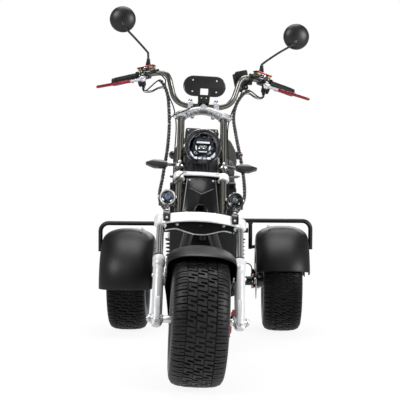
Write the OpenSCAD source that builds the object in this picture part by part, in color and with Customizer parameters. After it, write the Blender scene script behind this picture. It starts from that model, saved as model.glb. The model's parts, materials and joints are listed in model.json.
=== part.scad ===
// Motorized trike: one steered wheel in a raked fork, two driven wheels on a rigid axle.
// Millimetres. +X is the rider's left, -Y is forward, +Z is up.
// The origin is on the ground below the middle of the vehicle.

/* [Layout] */
// Distance from the front axle to the rear axle
wheelbase = 1300; // [1150:10:1500]
// Distance between the middles of the two rear tyres
rear_track = 700; // [640:5:800]
// Slope of the steering axis back from vertical, in degrees
rake = 35; // [25:1:38]
// How far the fork legs stand ahead of the steering axis
fork_offset = 33; // [25:1:45]
// Angle at which the steering is parked, in degrees, anticlockwise seen from above
steer_rest = 5; // [-10:1:10]

/* [Wheels] */
// Outer radius of all three tyres
wheel_r = 228; // [210:1:245]
// Radius at which the tyres sit on their rims
rim_r = 102; // [90:1:125]
// Width of the front tyre
front_tyre_w = 194; // [160:2:210]
// Width of each rear tyre
rear_tyre_w = 176; // [140:2:200]
// Radius of the front axle
axle_r = 8; // [6:0.5:12]
// Radius of the rear axle's wheel spindles
spindle_r = 14; // [10:0.5:18]
// Outer radius of the brake discs
disc_r = 84; // [70:1:95]
// Thickness of the brake discs
disc_t = 4; // [3:0.5:6]
// Radial running clearance of each hub and of the steering stem
running_gap = 0.1; // [0.05:0.01:0.1]

/* [Fork] */
// Distance between the middles of the lower fork legs
leg_spacing = 288; // [284:2:320]
// Distance between the middles of the upper fork tubes
tube_spacing = 164; // [150:2:190]
// Radius of the upper fork tubes
tube_r = 13.5; // [11:0.5:16]
// Radius of the chromed lower stanchions
stanchion_r = 13.5; // [11:0.5:15]
// Radius of the cast sliders
slider_r = 19; // [17:0.5:21]
// Top of the sliders, measured along the leg from the axle
slider_top = 249; // [230:1:280]
// Underside of the lower yoke, measured along the leg from the axle
lower_yoke_z = 374; // [360:1:400]
// Thickness of the lower yoke
lower_yoke_h = 38; // [30:1:44]
// Underside of the middle yoke, measured along the leg from the axle
mid_yoke_z = 582; // [570:1:610]
// Thickness of the middle yoke
mid_yoke_h = 24; // [20:1:34]
// Underside of the top yoke, measured along the leg from the axle
top_yoke_z = 870; // [850:1:890]
// Thickness of the top yoke
top_yoke_h = 20; // [16:1:26]
// Radius of the steering stem
stem_r = 16; // [13:0.5:18]
// Outer radius of the head tube
head_tube_r = 26; // [23:0.5:30]

/* [Fenders] */
// Width of the front fender
front_fender_w = 243; // [225:1:250]
// Outer radius of the front fender
front_fender_r = 262; // [250:1:275]
// Width of each rear fender
rear_fender_w = 242; // [225:1:260]
// Outer radius of the rear fenders
rear_fender_r = 252; // [246:1:262]
// Thickness of the fender shells
fender_t = 4; // [3:0.5:6]
// Arc that a rear fender covers, in degrees
rear_fender_arc = 165; // [140:1:175]
// Angle of the left rear fender's front lip above the axle, in degrees
left_lip_angle = 15; // [0:1:20]
// Angle of the right rear fender's front lip above the axle, in degrees
right_lip_angle = -2; // [-5:1:20]
// Height at which the left rear fender's centre stands above the axle
left_settle = 4; // [-12:1:12]
// Height at which the right rear fender's centre stands above the axle
right_settle = -12; // [-12:1:12]

/* [Handlebar] */
// Radius of the handlebar tube
bar_r = 11; // [10:0.1:13]
// Radius of the hand grips
grip_r = 15.5; // [14:0.5:19]
// Radius of the round mirrors
mirror_r = 51; // [45:1:60]

/* [Body] */
// Half width of the foot board
floor_half_w = 165; // [150:1:172]
// Height of the foot board's upper face
floor_z = 304; // [300:1:320]
// Half width of the seat box
seat_box_half_w = 138; // [120:1:150]
// Height of the top of the seat box
seat_box_top = 690; // [660:1:710]
// Radius of the main frame tubes
frame_r = 16; // [13:0.5:19]
// Radius of the fender hoop tubes
hoop_r = 10; // [8:0.5:12]

/* [Hidden] */
$fn = 64;

seat_gap = 0.1;          // clearance where one piece is held in another
touch_gap = 0.3;         // clearance where one piece rests on another
disc_clearance = 5;      // each side of a disc in its caliper
// The parked turn of the front wheel brings the edge of its crown forward and down.
crown_x = 0.18 * front_tyre_w;
crown_r = rim_r + 0.995 * (wheel_r - rim_r);
function crown_reach(turn) = max(0, crown_x * turn + crown_r * sqrt(1 - turn * turn) - wheel_r);
turn_shift = fork_offset * (1 - cos(steer_rest));
front_reach = crown_reach(cos(rake) * sin(abs(steer_rest))) - turn_shift * cos(rake);
front_lift = crown_reach(sin(rake) * sin(abs(steer_rest))) + turn_shift * sin(rake);
front_axle_z = wheel_r + front_lift;
front_axle_y = -(wheelbase + rear_fender_r - wheel_r - front_reach) / 2;
rear_axle_y = front_axle_y + wheelbase;
leg_x = leg_spacing / 2;
tube_x = tube_spacing / 2;
wheel_x = rear_track / 2;
lower_yoke_top = lower_yoke_z + lower_yoke_h;
mid_yoke_top = mid_yoke_z + mid_yoke_h;
top_yoke_top = top_yoke_z + top_yoke_h;
leg_boss_r = stanchion_r + 9.5;
tube_boss_r = tube_r + 8.5;

// ---------------------------------------------------------------- points and paths

function unit(v) = v / norm(v);

function arc(centre, r, from, to, n) =
    [for (i = [0:n]) centre + r * [cos(from + (to - from) * i / n), sin(from + (to - from) * i / n)]];

function rounded_box(w, d, r, n = 5) = concat(
    arc([w / 2 - r, d / 2 - r], r, 0, 90, n), arc([r - w / 2, d / 2 - r], r, 90, 180, n),
    arc([r - w / 2, r - d / 2], r, 180, 270, n), arc([w / 2 - r, r - d / 2], r, 270, 360, n));

function spline(a, b, c, d, t) =
    0.5 * (2 * b + (c - a) * t + (2 * a - 5 * b + 4 * c - d) * t * t + (3 * b - a - 3 * c + d) * t * t * t);

function smooth(p, k) = let (last = len(p) - 1) concat(
    [for (i = [0:last - 1]) for (j = [0:k - 1])
        spline(p[max(i - 1, 0)], p[i], p[i + 1], p[min(i + 2, last)], j / k)],
    [p[last]]);

function mirrored(p, side) = [for (q = p) [side * q[0], q[1], q[2]]];

// A round bar of radius r that follows the points p; across is a direction that no stretch runs along.
module sweep(p, r, n = 12, across = [0, 1, 0]) {
    m = len(p);
    along = [for (i = [0:m - 1]) unit(p[min(i + 1, m - 1)] - p[max(i - 1, 0)])];
    side = [for (i = [0:m - 1]) unit(cross(across, along[i]))];
    up = [for (i = [0:m - 1]) cross(along[i], side[i])];
    ring = [for (i = [0:m - 1]) for (j = [0:n - 1])
        p[i] + r * (cos(360 * j / n) * side[i] + sin(360 * j / n) * up[i])];
    walls = [for (i = [0:m - 2]) for (j = [0:n - 1])
        let (a = i * n + j, b = i * n + (j + 1) % n)
        for (face = [[a, a + n, b + n], [a, b + n, b]]) face];
    first_end = [for (j = [0:n - 1]) j];
    last_end = [for (j = [n - 1:-1:0]) (m - 1) * n + j];
    polyhedron(ring, concat(walls, [first_end, last_end]), convexity = 6);
}

// A straight round bar from a to b.
module rod(a, b, r) {
    d = b - a;
    translate(a) rotate([0, acos(d[2] / norm(d)), atan2(d[1], d[0])]) cylinder(h = norm(d), r = r);
}

// A cylinder along X, from x0 to x1.
module axle(x0, x1, r) {
    translate([x0, 0, 0]) rotate([0, 90, 0]) cylinder(h = x1 - x0, r = r);
}

// A solid turned round the X axis from a profile of [x, radius] points.
module wheel_turn(profile, angle = 360) {
    rotate([0, 90, 0]) rotate([0, 0, 180]) rotate_extrude(angle = angle) polygon(
        [for (q = profile) [q[1], q[0]]]);
}

// A box given by its two corners.
module block(low, high) {
    translate(low) cube(high - low);
}

// ---------------------------------------------------------------- places

// Children are drawn in the fork's own frame: Z along the legs from the axle, +Y back, turned to rest.
module on_fork() {
    translate([0, front_axle_y, front_axle_z]) rotate([-rake, 0, 0])
        translate([0, fork_offset, 0]) rotate([0, 0, steer_rest]) translate([0, -fork_offset, 0])
            children();
}

// Children are drawn upright, from a point given in the fork's frame.
module upright(y, z) {
    translate([0, y, z]) rotate([rake, 0, 0]) children();
}

// Children are drawn with the vehicle's axes, from below the straight-ahead front axle.
module on_bars() {
    on_fork() upright(0, 0) translate([0, 0, -front_axle_z]) children();
}

// A point of the fork's frame, with the steering straight, measured from below the front axle.
function fork_point(x, y, z) = [
    x, y * cos(rake) + z * sin(rake), front_axle_z - y * sin(rake) + z * cos(rake)];

module from_front() {
    translate([0, front_axle_y, 0]) children();
}

module at_rear_wheel(side) {
    translate([side * wheel_x, rear_axle_y, wheel_r]) scale_x(side) children();
}

// Mirrors its children to the given side; they are drawn for the side +1.
module scale_x(side) {
    if (side < 0) mirror([1, 0, 0]) children();
    else children();
}

// ---------------------------------------------------------------- wheels

module tyre(w) {
    color([0.07, 0.07, 0.075]) wheel_turn(concat(
        [[-0.38 * w, rim_r], [-0.38 * w, rim_r + flange_h + 1], [-0.44 * w, rim_r + 0.14 * (wheel_r - rim_r)],
         [-0.49 * w, rim_r + 0.32 * (wheel_r - rim_r)], [-0.5 * w, rim_r + 0.5 * (wheel_r - rim_r)],
         [-0.495 * w, rim_r + 0.66 * (wheel_r - rim_r)], [-0.475 * w, rim_r + 0.8 * (wheel_r - rim_r)],
         [-0.43 * w, rim_r + 0.905 * (wheel_r - rim_r)], [-0.34 * w, rim_r + 0.965 * (wheel_r - rim_r)],
         [-0.18 * w, rim_r + 0.995 * (wheel_r - rim_r)], [0, wheel_r]],
        [[0.18 * w, rim_r + 0.995 * (wheel_r - rim_r)], [0.34 * w, rim_r + 0.965 * (wheel_r - rim_r)],
         [0.43 * w, rim_r + 0.905 * (wheel_r - rim_r)], [0.475 * w, rim_r + 0.8 * (wheel_r - rim_r)],
         [0.495 * w, rim_r + 0.66 * (wheel_r - rim_r)], [0.5 * w, rim_r + 0.5 * (wheel_r - rim_r)],
         [0.49 * w, rim_r + 0.32 * (wheel_r - rim_r)], [0.44 * w, rim_r + 0.14 * (wheel_r - rim_r)],
         [0.38 * w, rim_r + flange_h + 1], [0.38 * w, rim_r]]));
}

rim_wall = 7;
flange_h = 5;
window_count = 5;

// A cast rim of barrel half width half_w, with its spoked web at web_x and a hub from hub_low to hub_high.
module rim(half_w, web_x, web_t, hub_low, hub_high, hub_r, bore_r) {
    seat = rim_r - seat_gap;
    inner = seat - rim_wall;
    color([0.12, 0.12, 0.13]) difference() {
        union() {
            wheel_turn([[-half_w, inner], [-half_w, seat + flange_h], [3 - half_w - seat_gap, seat + flange_h],
                [3 - half_w - seat_gap, seat], [half_w - 3 + seat_gap, seat],
                [half_w - 3 + seat_gap, seat + flange_h], [half_w, seat + flange_h], [half_w, inner]]);
            translate([web_x, 0, 0]) rotate([0, 90, 0]) linear_extrude(web_t) difference() {
                circle(r = inner + 1);
                for (i = [0:window_count - 1]) rotate(i * 360 / window_count) polygon(concat(
                    arc([0, 0], inner - 9, -22, 22, 8), arc([0, 0], hub_r + 12, 10, -10, 3)));
            }
            axle(hub_low, hub_high, hub_r);
        }
        axle(hub_low - 1, hub_high + 1, bore_r);
    }
}

module front_rim() {
    half_w = 0.38 * front_tyre_w + 3;
    on_fork() rim(half_w, half_w - 34, 16, -62, front_hub_right, 26, axle_r + running_gap);
}

front_hub_right = 100;
front_disc_x = 104;

module brake_disc(x, bore) {
    color("silver") translate([x, 0, 0]) rotate([0, 90, 0]) linear_extrude(disc_t) difference() {
        circle(r = disc_r);
        circle(r = bore);
        for (i = [0:11]) rotate(i * 30) translate([disc_r - 14, 0]) circle(r = 4);
        for (i = [0:5]) rotate(i * 60 + 15) polygon(concat(
            arc([0, 0], disc_r - 27, -18, 18, 5), arc([0, 0], 36, 15, -15, 3)));
    }
}

module front_disc() {
    on_fork() brake_disc(front_hub_right + seat_gap, axle_r + 10);
}

module front_tyre() {
    on_fork() tyre(front_tyre_w);
}

rear_disc_x = -(rear_tyre_w / 2) - 30;   // inboard of the tyre, from the wheel's middle
rear_hub_low = rear_disc_x + disc_t + seat_gap;

module rear_rim(side) {
    half_w = 0.38 * rear_tyre_w + 3;
    at_rear_wheel(side) rim(half_w, half_w - 34, 14, rear_hub_low, half_w - 12, 30,
        spindle_r + running_gap);
}

module rear_disc(side) {
    at_rear_wheel(side) brake_disc(rear_disc_x, spindle_r + 6);
}

// ---------------------------------------------------------------- fork

// The outline of a yoke seen along the fork: bosses on the legs and tubes, with a web that bulges ahead.
module yoke_outline(end_x, end_r, bulge, back, waist) {
    for (s = [-1, 1]) translate([s * end_x, 0]) circle(r = end_r);
    polygon(concat(
        [for (i = [0:10]) let (t = -1 + i / 5) [t * end_x, -end_r * 0.9 - (bulge - end_r * 0.9) * (1 - t * t)]],
        [[end_x, end_r * 0.6], [waist, back * 0.62], [head_tube_r + 6, back], [-head_tube_r - 6, back],
         [-waist, back * 0.62], [-end_x, end_r * 0.6]]));
}

module fork_holes(x, r, z, h) {
    for (s = [-1, 1]) translate([s * x, 0, z - 1]) cylinder(h = h + 2, r = r + seat_gap);
}

lower_yoke_bulge = 50;
lower_yoke_back = 66;

module lower_yoke() {
    wall = 9;
    on_fork() color("white") {
        difference() {
            union() {
                difference() {
                    translate([0, 0, lower_yoke_z]) linear_extrude(lower_yoke_h)
                        yoke_outline(leg_x, leg_boss_r, lower_yoke_bulge, lower_yoke_back, tube_x + 10);
                    translate([0, 0, lower_yoke_z - 1]) linear_extrude(lower_yoke_h - wall + 1) polygon(concat(
                        [for (i = [0:10]) let (t = -1 + i / 5)
                            [t * (leg_x - 28), wall - 18 - (lower_yoke_bulge - 18) * (1 - t * t)]],
                        [[leg_x - 28, 8], [tube_x, lower_yoke_back * 0.62 - wall],
                         [-tube_x, lower_yoke_back * 0.62 - wall], [28 - leg_x, 8]]));
                }
                for (s = [-1, 1]) translate([s * tube_x, 0, lower_yoke_z + 6])
                    cylinder(h = lower_yoke_h - 8, r = tube_boss_r);
                translate([0, fork_offset, lower_yoke_z + 2]) cylinder(h = lower_yoke_h - 4, r = stem_r + 9);
                translate([0, fork_offset, lower_yoke_top - 2])
                    cylinder(h = mid_yoke_z + mid_yoke_h - lower_yoke_top + 2, r = stem_r);
            }
            fork_holes(leg_x, stanchion_r, lower_yoke_z - 1, lower_yoke_h - 7);
            fork_holes(tube_x, tube_r, lower_yoke_z + 14, lower_yoke_h);
        }
    }
}

mid_yoke_bulge = 24;
mid_yoke_back = 62;

module mid_yoke() {
    on_fork() color("white") difference() {
        translate([0, 0, mid_yoke_z]) linear_extrude(mid_yoke_h)
            yoke_outline(tube_x, tube_boss_r, mid_yoke_bulge, mid_yoke_back, 52);
        fork_holes(tube_x, tube_r, mid_yoke_z, mid_yoke_h);
        translate([0, fork_offset, mid_yoke_z - 1]) cylinder(h = mid_yoke_h + 2, r = stem_r + seat_gap);
    }
}

top_yoke_bulge = 52;
riser_y = -27;

module top_yoke() {
    on_fork() color("silver") difference() {
        union() {
            difference() {
                translate([0, 0, top_yoke_z]) linear_extrude(top_yoke_h)
                    yoke_outline(tube_x, tube_boss_r, top_yoke_bulge, 22, 50);
                translate([0, 0, top_yoke_z - 1]) linear_extrude(top_yoke_h - 8) polygon(concat(
                    [for (i = [0:8]) let (t = -1 + i / 4)
                        [t * (tube_x - 26), -14 - (top_yoke_bulge - 22) * (1 - t * t)]],
                    [[tube_x - 30, 6], [30 - tube_x, 6]]));
            }
            translate([0, riser_y + 2, top_yoke_top - 2]) cylinder(h = 8, r = 17);
        }
        fork_holes(tube_x, tube_r, top_yoke_z - 1, top_yoke_h - 6);
    }
}

module fork_tubes() {
    low = lower_yoke_z + 14;
    on_fork() color([0.62, 0.61, 0.56]) for (s = [-1, 1]) translate([s * tube_x, 0, low])
        cylinder(h = top_yoke_top - 9 - low, r = tube_r);
}

module fork_stanchions() {
    low = slider_top - 40;
    on_fork() color([0.8, 0.8, 0.8]) for (s = [-1, 1]) translate([s * leg_x, 0, low])
        cylinder(h = lower_yoke_top - 10 - low, r = stanchion_r);
}

slider_bottom = -28;
axle_lug = 21;

module fork_sliders() {
    on_fork() color([0.75, 0.76, 0.78]) for (s = [-1, 1]) difference() {
        union() {
            translate([s * leg_x, 0, slider_bottom]) cylinder(h = slider_top - 30 - slider_bottom, r = slider_r);
            translate([s * leg_x, 0, slider_top - 40]) cylinder(h = 16, r1 = slider_r, r2 = slider_r + 3.5);
            translate([s * leg_x, 0, slider_top - 24]) cylinder(h = 24, r = slider_r + 3.5);
            translate([s * leg_x, 0, 0]) axle(-axle_lug, axle_lug, 17);
            scale_x(s) translate([leg_x, 0, fender_stud_z]) axle(fender_side_x - leg_x + touch_gap, -slider_r + 4, 7);
        }
        translate([s * leg_x, 0, slider_top - 40 - seat_gap]) cylinder(h = 60, r = stanchion_r + seat_gap);
        translate([s * leg_x, 0, 0]) axle(-axle_lug - 1, axle_lug + 1, axle_r + seat_gap);
    }
}

module front_axle() {
    spacer_r = 13;
    inner = leg_x - axle_lug - touch_gap;
    outer = leg_x + axle_lug + touch_gap;
    on_fork() color("silver") {
        axle(-outer - 14, outer + 14, axle_r);
        axle(outer, outer + 9, 15);
        axle(-outer - 9, -outer, 15);
        axle(-inner, -62.5, spacer_r);
        axle(front_hub_right + disc_t + 1, inner, spacer_r);
    }
}

// ---------------------------------------------------------------- fenders

// The wall of a fender in [x, radius], outer edge then inner edge, with skirts of the given depth.
function fender_wall(w, r, t, skirt, round_w, round_h) = concat(
    [[-w / 2, r - skirt]],
    [for (i = [0:8]) let (a = 180 - 90 * i / 8) [
        round_w - w / 2 + round_w * cos(a), r - round_h + round_h * sin(a)]],
    [for (i = [0:8]) let (a = 90 - 90 * i / 8) [
        w / 2 - round_w + round_w * cos(a), r - round_h + round_h * sin(a)]],
    [[w / 2, r - skirt], [w / 2 - t, r - skirt]],
    [for (i = [0:8]) let (a = 90 * i / 8) [
        w / 2 - round_w + (round_w - t) * cos(a), r - round_h + (round_h - t) * sin(a)]],
    [for (i = [0:8]) let (a = 90 + 90 * i / 8) [
        round_w - w / 2 + (round_w - t) * cos(a), r - round_h + (round_h - t) * sin(a)]],
    [[t - w / 2, r - skirt]]);

// A fender about the X axis, from the angle low to the angle high above the forward direction.
module fender(w, r, skirt, round_w, round_h, low, high) {
    rotate([0, 0, -90]) rotate([90, 0, 0]) rotate([0, 0, low]) rotate_extrude(angle = high - low)
        polygon([for (q = fender_wall(w, r, fender_t, skirt, round_w, round_h)) [q[1], q[0]]]);
}

front_lip_angle = 60;
front_tail_angle = 202;
front_skirt = 104;
fender_side_x = front_fender_w / 2;
fender_stud_z = 171;

module front_fender() {
    on_fork() upright(0, 0) color([0.1, 0.1, 0.1])
        fender(front_fender_w, front_fender_r, front_skirt, 66, 52, front_lip_angle, front_tail_angle);
}

function lip_angle(side) = side > 0 ? left_lip_angle : right_lip_angle;
function settle(side) = side > 0 ? left_settle : right_settle;

rear_skirt = 112;

module rear_fender(side) {
    translate([side * wheel_x, rear_axle_y, wheel_r + settle(side)]) color([0.1, 0.1, 0.1])
        fender(rear_fender_w, rear_fender_r, rear_skirt, 112, 58, lip_angle(side),
            lip_angle(side) + rear_fender_arc);
}

hoop_y = rear_axle_y - 15;
hoop_x = wheel_x + rear_fender_w / 2 + hoop_r + touch_gap;
post_x = wheel_x - rear_fender_w / 2 - 22;
upright_x = 105;
crossbar_z = 461;
function hoop_z(side) = wheel_r + rear_fender_r + 12 + hoop_r + settle(side);

// One hoop over a rear fender: a bar from the frame, bent down outside, and an inner post with a foot.
module fender_hoop(side) {
    z = hoop_z(side);
    bend = 38;
    foot_z = wheel_r + 154 + settle(side);
    outer_low = wheel_r + 144 + settle(side);
    scale_x(side) translate([0, hoop_y, 0]) {
        sweep(concat(
            [[upright_x + frame_r - 2, 0, z]],
            [for (i = [0:10]) let (a = 90 - 9 * i)
                [hoop_x - bend + bend * cos(a), 0, z - bend + bend * sin(a)]],
            [[hoop_x, 0, outer_low]]), hoop_r, 16);
        rod([post_x, 0, foot_z - hoop_r], [post_x, 0, z - hoop_r * 0.5], hoop_r - 1);
        rod([post_x, 0, foot_z], [wheel_x - rear_fender_w / 2 - touch_gap, 0, foot_z], hoop_r - 2);
    }
}

module fender_hoops() {
    color([0.08, 0.08, 0.08]) for (s = [-1, 1]) fender_hoop(s);
}

// ---------------------------------------------------------------- frame

rail_x = 120;
rail_z = 272;
rail_front = 470;        // places on the frame are measured back from the front axle
rail_rear = wheelbase - 150;
upright_back = wheelbase - 15;
upright_top = 770;

module main_frame() {
    head_low = lower_yoke_top + 8;
    head_high = mid_yoke_z - 8;
    neck = fork_point(0, fork_offset, 0.5 * head_low + 0.5 * head_high);
    color([0.05, 0.05, 0.05]) {
        difference() {
            union() {
                from_front() {
                    rod(fork_point(0, fork_offset, head_low), fork_point(0, fork_offset, head_high), head_tube_r);
                        for (s = [-1, 1]) {
                        foot = [s * upright_x, upright_back, 0];
                        brace = [s * (rail_x - 10), rail_rear - 40, 0];
                        rod(neck + [s * 12, 0, 0], [s * (rail_x - 8), rail_front + 30, rail_z + 8], frame_r + 3);
                        rod([s * rail_x, rail_front, rail_z], [s * rail_x, rail_rear, rail_z], frame_r);
                        rod([s * rail_x, rail_rear - 6, rail_z - 4], foot + [0, 0, 448], frame_r - 1);
                        rod(foot + [0, 0, 436], foot + [0, 0, upright_top], frame_r - 2);
                        rod(brace + [0, 0, rail_z], brace + [0, 0, 560], 10);
                        rod(brace + [0, 0, 552], foot + [0, 0, 552], 9);
                    }
                    for (y = [rail_front + 24, 640, arm_pivot - 60])
                        rod([-rail_x, y, rail_z], [rail_x, y, rail_z], frame_r - 3);
                }
                translate([0, hoop_y, 0]) rod([-post_x + 10, 0, crossbar_z], [post_x - 10, 0, crossbar_z], 11);
            }
            from_front() rod(fork_point(0, fork_offset, head_low - 60), fork_point(0, fork_offset, head_high + 60),
                stem_r + running_gap);
        }
    }
}

// A flat sheet that closes the frame between its two rails.
module belly_tray() {
    color([0.1, 0.1, 0.1]) from_front()
        block([-rail_x + 2, rail_front + 40, rail_z - frame_r - 4.3],
              [rail_x - 2, arm_pivot - 80, rail_z - frame_r - touch_gap]);
}

board_front = 524;

module foot_board() {
    length = seat_box_front - 4 - board_front;
    color([0.15, 0.15, 0.15]) from_front() translate([0, board_front + length / 2, rail_z + frame_r + touch_gap])
        linear_extrude(floor_z - rail_z - frame_r - touch_gap)
            polygon(rounded_box(2 * floor_half_w, length, 40, 8));
}

seat_box_front = 770;
seat_box_back = 1096;

module seat_box() {
    low = rail_z + frame_r + touch_gap;
    color([0.06, 0.06, 0.07]) from_front() {
        translate([seat_box_half_w, 0, 0]) rotate([0, -90, 0]) linear_extrude(2 * seat_box_half_w) polygon([
            [low, seat_box_front], [low, seat_box_back], [seat_box_top, seat_box_back],
            [seat_box_top, seat_box_front - 26], [seat_box_top - 30, seat_box_front - 30],
            [seat_box_top - 170, seat_box_front - 8]]);
        translate([0, hinge_y, hinge_z]) {
            axle(-hinge_half - 9, hinge_half + 9, hinge_pin_r);
            for (s = [-1, 1]) scale_x(s) {
                axle(hinge_half + 1, hinge_half + 9, 4);
                block([hinge_half + 1, 0, -4], [hinge_half + 9, 14, 3.8]);
            }
        }
    }
}

pan_t = 14;
hinge_y = seat_box_front - 37;
hinge_z = seat_box_top - 4;
hinge_half = 30;
hinge_pin_r = 3;

// Plan outline of the saddle pan, from its nose back.
module saddle_plan(grow) {
    polygon(concat(
        arc([0, seat_box_front + 40], 88 + grow, 200, 340, 8),
        [[126 + grow, seat_box_front + 190]],
        arc([74, seat_box_front + 350], 58 + grow, 0, 90, 6),
        arc([-74, seat_box_front + 350], 58 + grow, 90, 180, 6),
        [[-126 - grow, seat_box_front + 190]]));
}

module saddle_pan() {
    color([0.05, 0.05, 0.05]) from_front() difference() {
        union() {
            translate([0, 0, seat_box_top + touch_gap]) linear_extrude(pan_t) saddle_plan(0);
            translate([0, hinge_y, hinge_z]) {
                axle(-hinge_half, hinge_half, 6);
                block([-hinge_half, -6, 0], [hinge_half, 4, seat_box_top + 1 - hinge_z]);
            }
        }
        translate([0, hinge_y, hinge_z]) axle(-hinge_half - 1, hinge_half + 1, hinge_pin_r + running_gap);
    }
}

cushion_low = seat_box_top + pan_t + 2 * touch_gap;

module saddle_cushion() {
    color([0.07, 0.07, 0.07]) from_front() {
        hull() {
            translate([0, seat_box_front + 20, cushion_low]) cylinder(h = 30, r = 92, $fn = 32);
            translate([0, seat_box_front + 20, cushion_low + 40]) sphere(r = 34, $fn = 32);
            for (s = [-1, 1]) {
                translate([s * 84, seat_box_front + 280, cushion_low]) cylinder(h = 70, r = 62, $fn = 32);
                translate([s * 60, seat_box_front + 200, cushion_low + 44]) sphere(r = 42, $fn = 32);
            }
        }
        hull() for (s = [-1, 1]) {
            translate([s * 92, seat_box_front + 350, cushion_low + 92]) sphere(r = 60, $fn = 32);
            translate([s * 58, seat_box_front + 372, cushion_low + 142]) sphere(r = 48, $fn = 32);
            translate([s * 66, seat_box_front + 350, cushion_low]) cylinder(h = 40, r = 62, $fn = 32);
        }
    }
}

rack_z = upright_top + touch_gap;
rack_length = 190;
rack_hole_x = 130;       // spacing of the rack's four bolt holes across
rack_hole_y = 120;       // spacing of the rack's four bolt holes along
rack_hole_r = 3.5;
rack_mid = wheelbase + 62;

module rear_rack() {
    color([0.07, 0.07, 0.07]) from_front() {
        difference() {
            translate([0, rack_mid, rack_z]) linear_extrude(6) polygon(rounded_box(238, rack_length, 30, 6));
            for (x = [-1, 1], y = [-1, 1]) translate([x * rack_hole_x / 2, rack_mid + y * rack_hole_y / 2, rack_z - 1])
                cylinder(h = 8, r = rack_hole_r);
        }
        translate([0, 0, rack_z + 6]) sweep(concat(
            [[-104, upright_back + 10, 0], [-104, upright_back + 14, 18]],
            [for (i = [0:6]) let (a = 180 + 15 * i) [-80 + 24 * cos(a), rack_mid + 60 - 24 * sin(a), 26]],
            [for (i = [0:6]) let (a = 90 - 15 * i) [80 + 24 * cos(a), rack_mid + 60 + 24 * sin(a), 26]],
            [[104, upright_back + 14, 18], [104, upright_back + 10, 0]]), 7, 12, [0, 0, 1]);
    }
}

module tail_lamp() {
    back = rack_mid + rack_length / 2;
    color([0.5, 0.03, 0.03]) from_front() translate([0, back - 22, rack_z - 38 - touch_gap])
        linear_extrude(38) polygon(rounded_box(120, 36, 12, 5));
}

module rear_indicators() {
    color([0.1, 0.1, 0.1]) from_front() for (s = [-1, 1]) scale_x(s) translate([0, upright_back + 30, rack_z + 30]) {
        rod([122.4, 0, -26], [142, 0, -4], 5);
        translate([150, 6, 4]) rotate([90, 0, 0]) cylinder(h = 34, r = 20, center = true);
    }
}

plate_low = 556;
plate_back = rack_mid + rack_length / 2 - 10;

module plate_holder() {
    color([0.1, 0.1, 0.1]) from_front() difference() {
        union() {
            block([-90, plate_back, plate_low], [90, plate_back + 4, plate_low + 130]);
            block([-30, plate_back, plate_low + 120], [30, plate_back + 4, rack_z - 38 - 2 * touch_gap]);
            block([-24, plate_back - 30, rack_z - 46], [24, plate_back, rack_z - 38 - 2 * touch_gap]);
        }
        for (s = [-1, 1]) translate([s * 50, plate_back - 1, plate_low + 108]) rotate([-90, 0, 0])
            cylinder(h = 6, r = 3);
    }
}

// ---------------------------------------------------------------- rear axle

arm_x = 80;
arm_pivot = 1040;
housing_r = 21;
housing_end = wheel_x + rear_disc_x - 6;

module swing_arm() {
    color([0.07, 0.07, 0.07]) from_front() {
        for (s = [-1, 1]) {
            rod([s * arm_x, arm_pivot, rail_z], [s * arm_x, wheelbase - housing_r - 10, wheel_r + 4], 13);
            block([s * arm_x - 14, wheelbase - housing_r - 16, wheel_r - 24],
                  [s * arm_x + 14, wheelbase - housing_r - touch_gap, wheel_r + 26]);
        }
        rod([frame_r - rail_x + touch_gap, arm_pivot, rail_z], [rail_x - frame_r - touch_gap, arm_pivot, rail_z], 15);
    }
}

module rear_axle() {
    color([0.06, 0.06, 0.06]) translate([0, rear_axle_y, wheel_r]) {
        axle(-housing_end, housing_end, housing_r);
        axle(-54, 54, 76);
        for (x = [-40, -20, 0, 20, 40]) axle(x - 3, x + 3, 82);
        for (s = [-1, 1]) scale_x(s) {
            axle(housing_end - 6, housing_end, 34);
            axle(housing_end - 1, wheel_x + 0.38 * rear_tyre_w - 4, spindle_r);
            axle(wheel_x + 0.38 * rear_tyre_w - 8.5, wheel_x + 0.38 * rear_tyre_w + 2, spindle_r + 6);
            block([shock_x - 14, -22, housing_r - 6], [shock_x + 14, 12, housing_r + 12]);
        }
    }
}

shock_x = 160;

module rear_shocks() {
    low = wheel_r + housing_r + 12 + touch_gap;
    top = crossbar_z - 11 - touch_gap;
    color("silver") for (s = [-1, 1]) translate([s * shock_x, hoop_y + 6, low]) {
        cylinder(h = top - low - 4, r = 9);
        translate([0, 0, 12]) cylinder(h = 7, r = 25);
        translate([0, 0, top - low - 34]) cylinder(h = 7, r = 25);
        translate([0, 0, 19]) cylinder(h = top - low - 53, r = 19);
        translate([0, -6, top - low - 12]) cylinder(h = 12, r = 13);
        cylinder(h = 8, r = 13);
    }
}

// A caliper that straddles a disc whose inner face is at x; it is drawn behind the axle.
module caliper(x, reach, width) {
    slot = disc_t + 2 * disc_clearance;
    difference() {
        translate([x - (width - disc_t) / 2, 0, 0]) rotate([0, 90, 0]) linear_extrude(width)
            polygon(concat(arc([0, 0], reach, 62, 118, 8), arc([0, 0], disc_r - 30, 118, 62, 6)));
        axle(x - disc_clearance, x + disc_t + disc_clearance, disc_r + disc_clearance);
    }
}

module rear_calipers() {
    color([0.6, 0.03, 0.04]) for (s = [-1, 1]) at_rear_wheel(s) union() {
        caliper(rear_disc_x, disc_r + 22, 40);
        block([rear_disc_x - 18, 34 + touch_gap, -18], [rear_disc_x - disc_clearance, disc_r - 22, 18]);
    }
}

module front_caliper() {
    plate = front_hub_right + disc_t + 13;
    on_fork() color([0.6, 0.03, 0.04]) {
        rotate([20, 0, 0]) caliper(front_hub_right + seat_gap, disc_r + 20, 34);
        block([plate, -10, 22], [leg_x - slider_r - touch_gap, 70, 48]);
    }
}

// ---------------------------------------------------------------- lamps and covers on the fork

cover_low = lower_yoke_top + touch_gap;
cover_high = mid_yoke_z - touch_gap;

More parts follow.
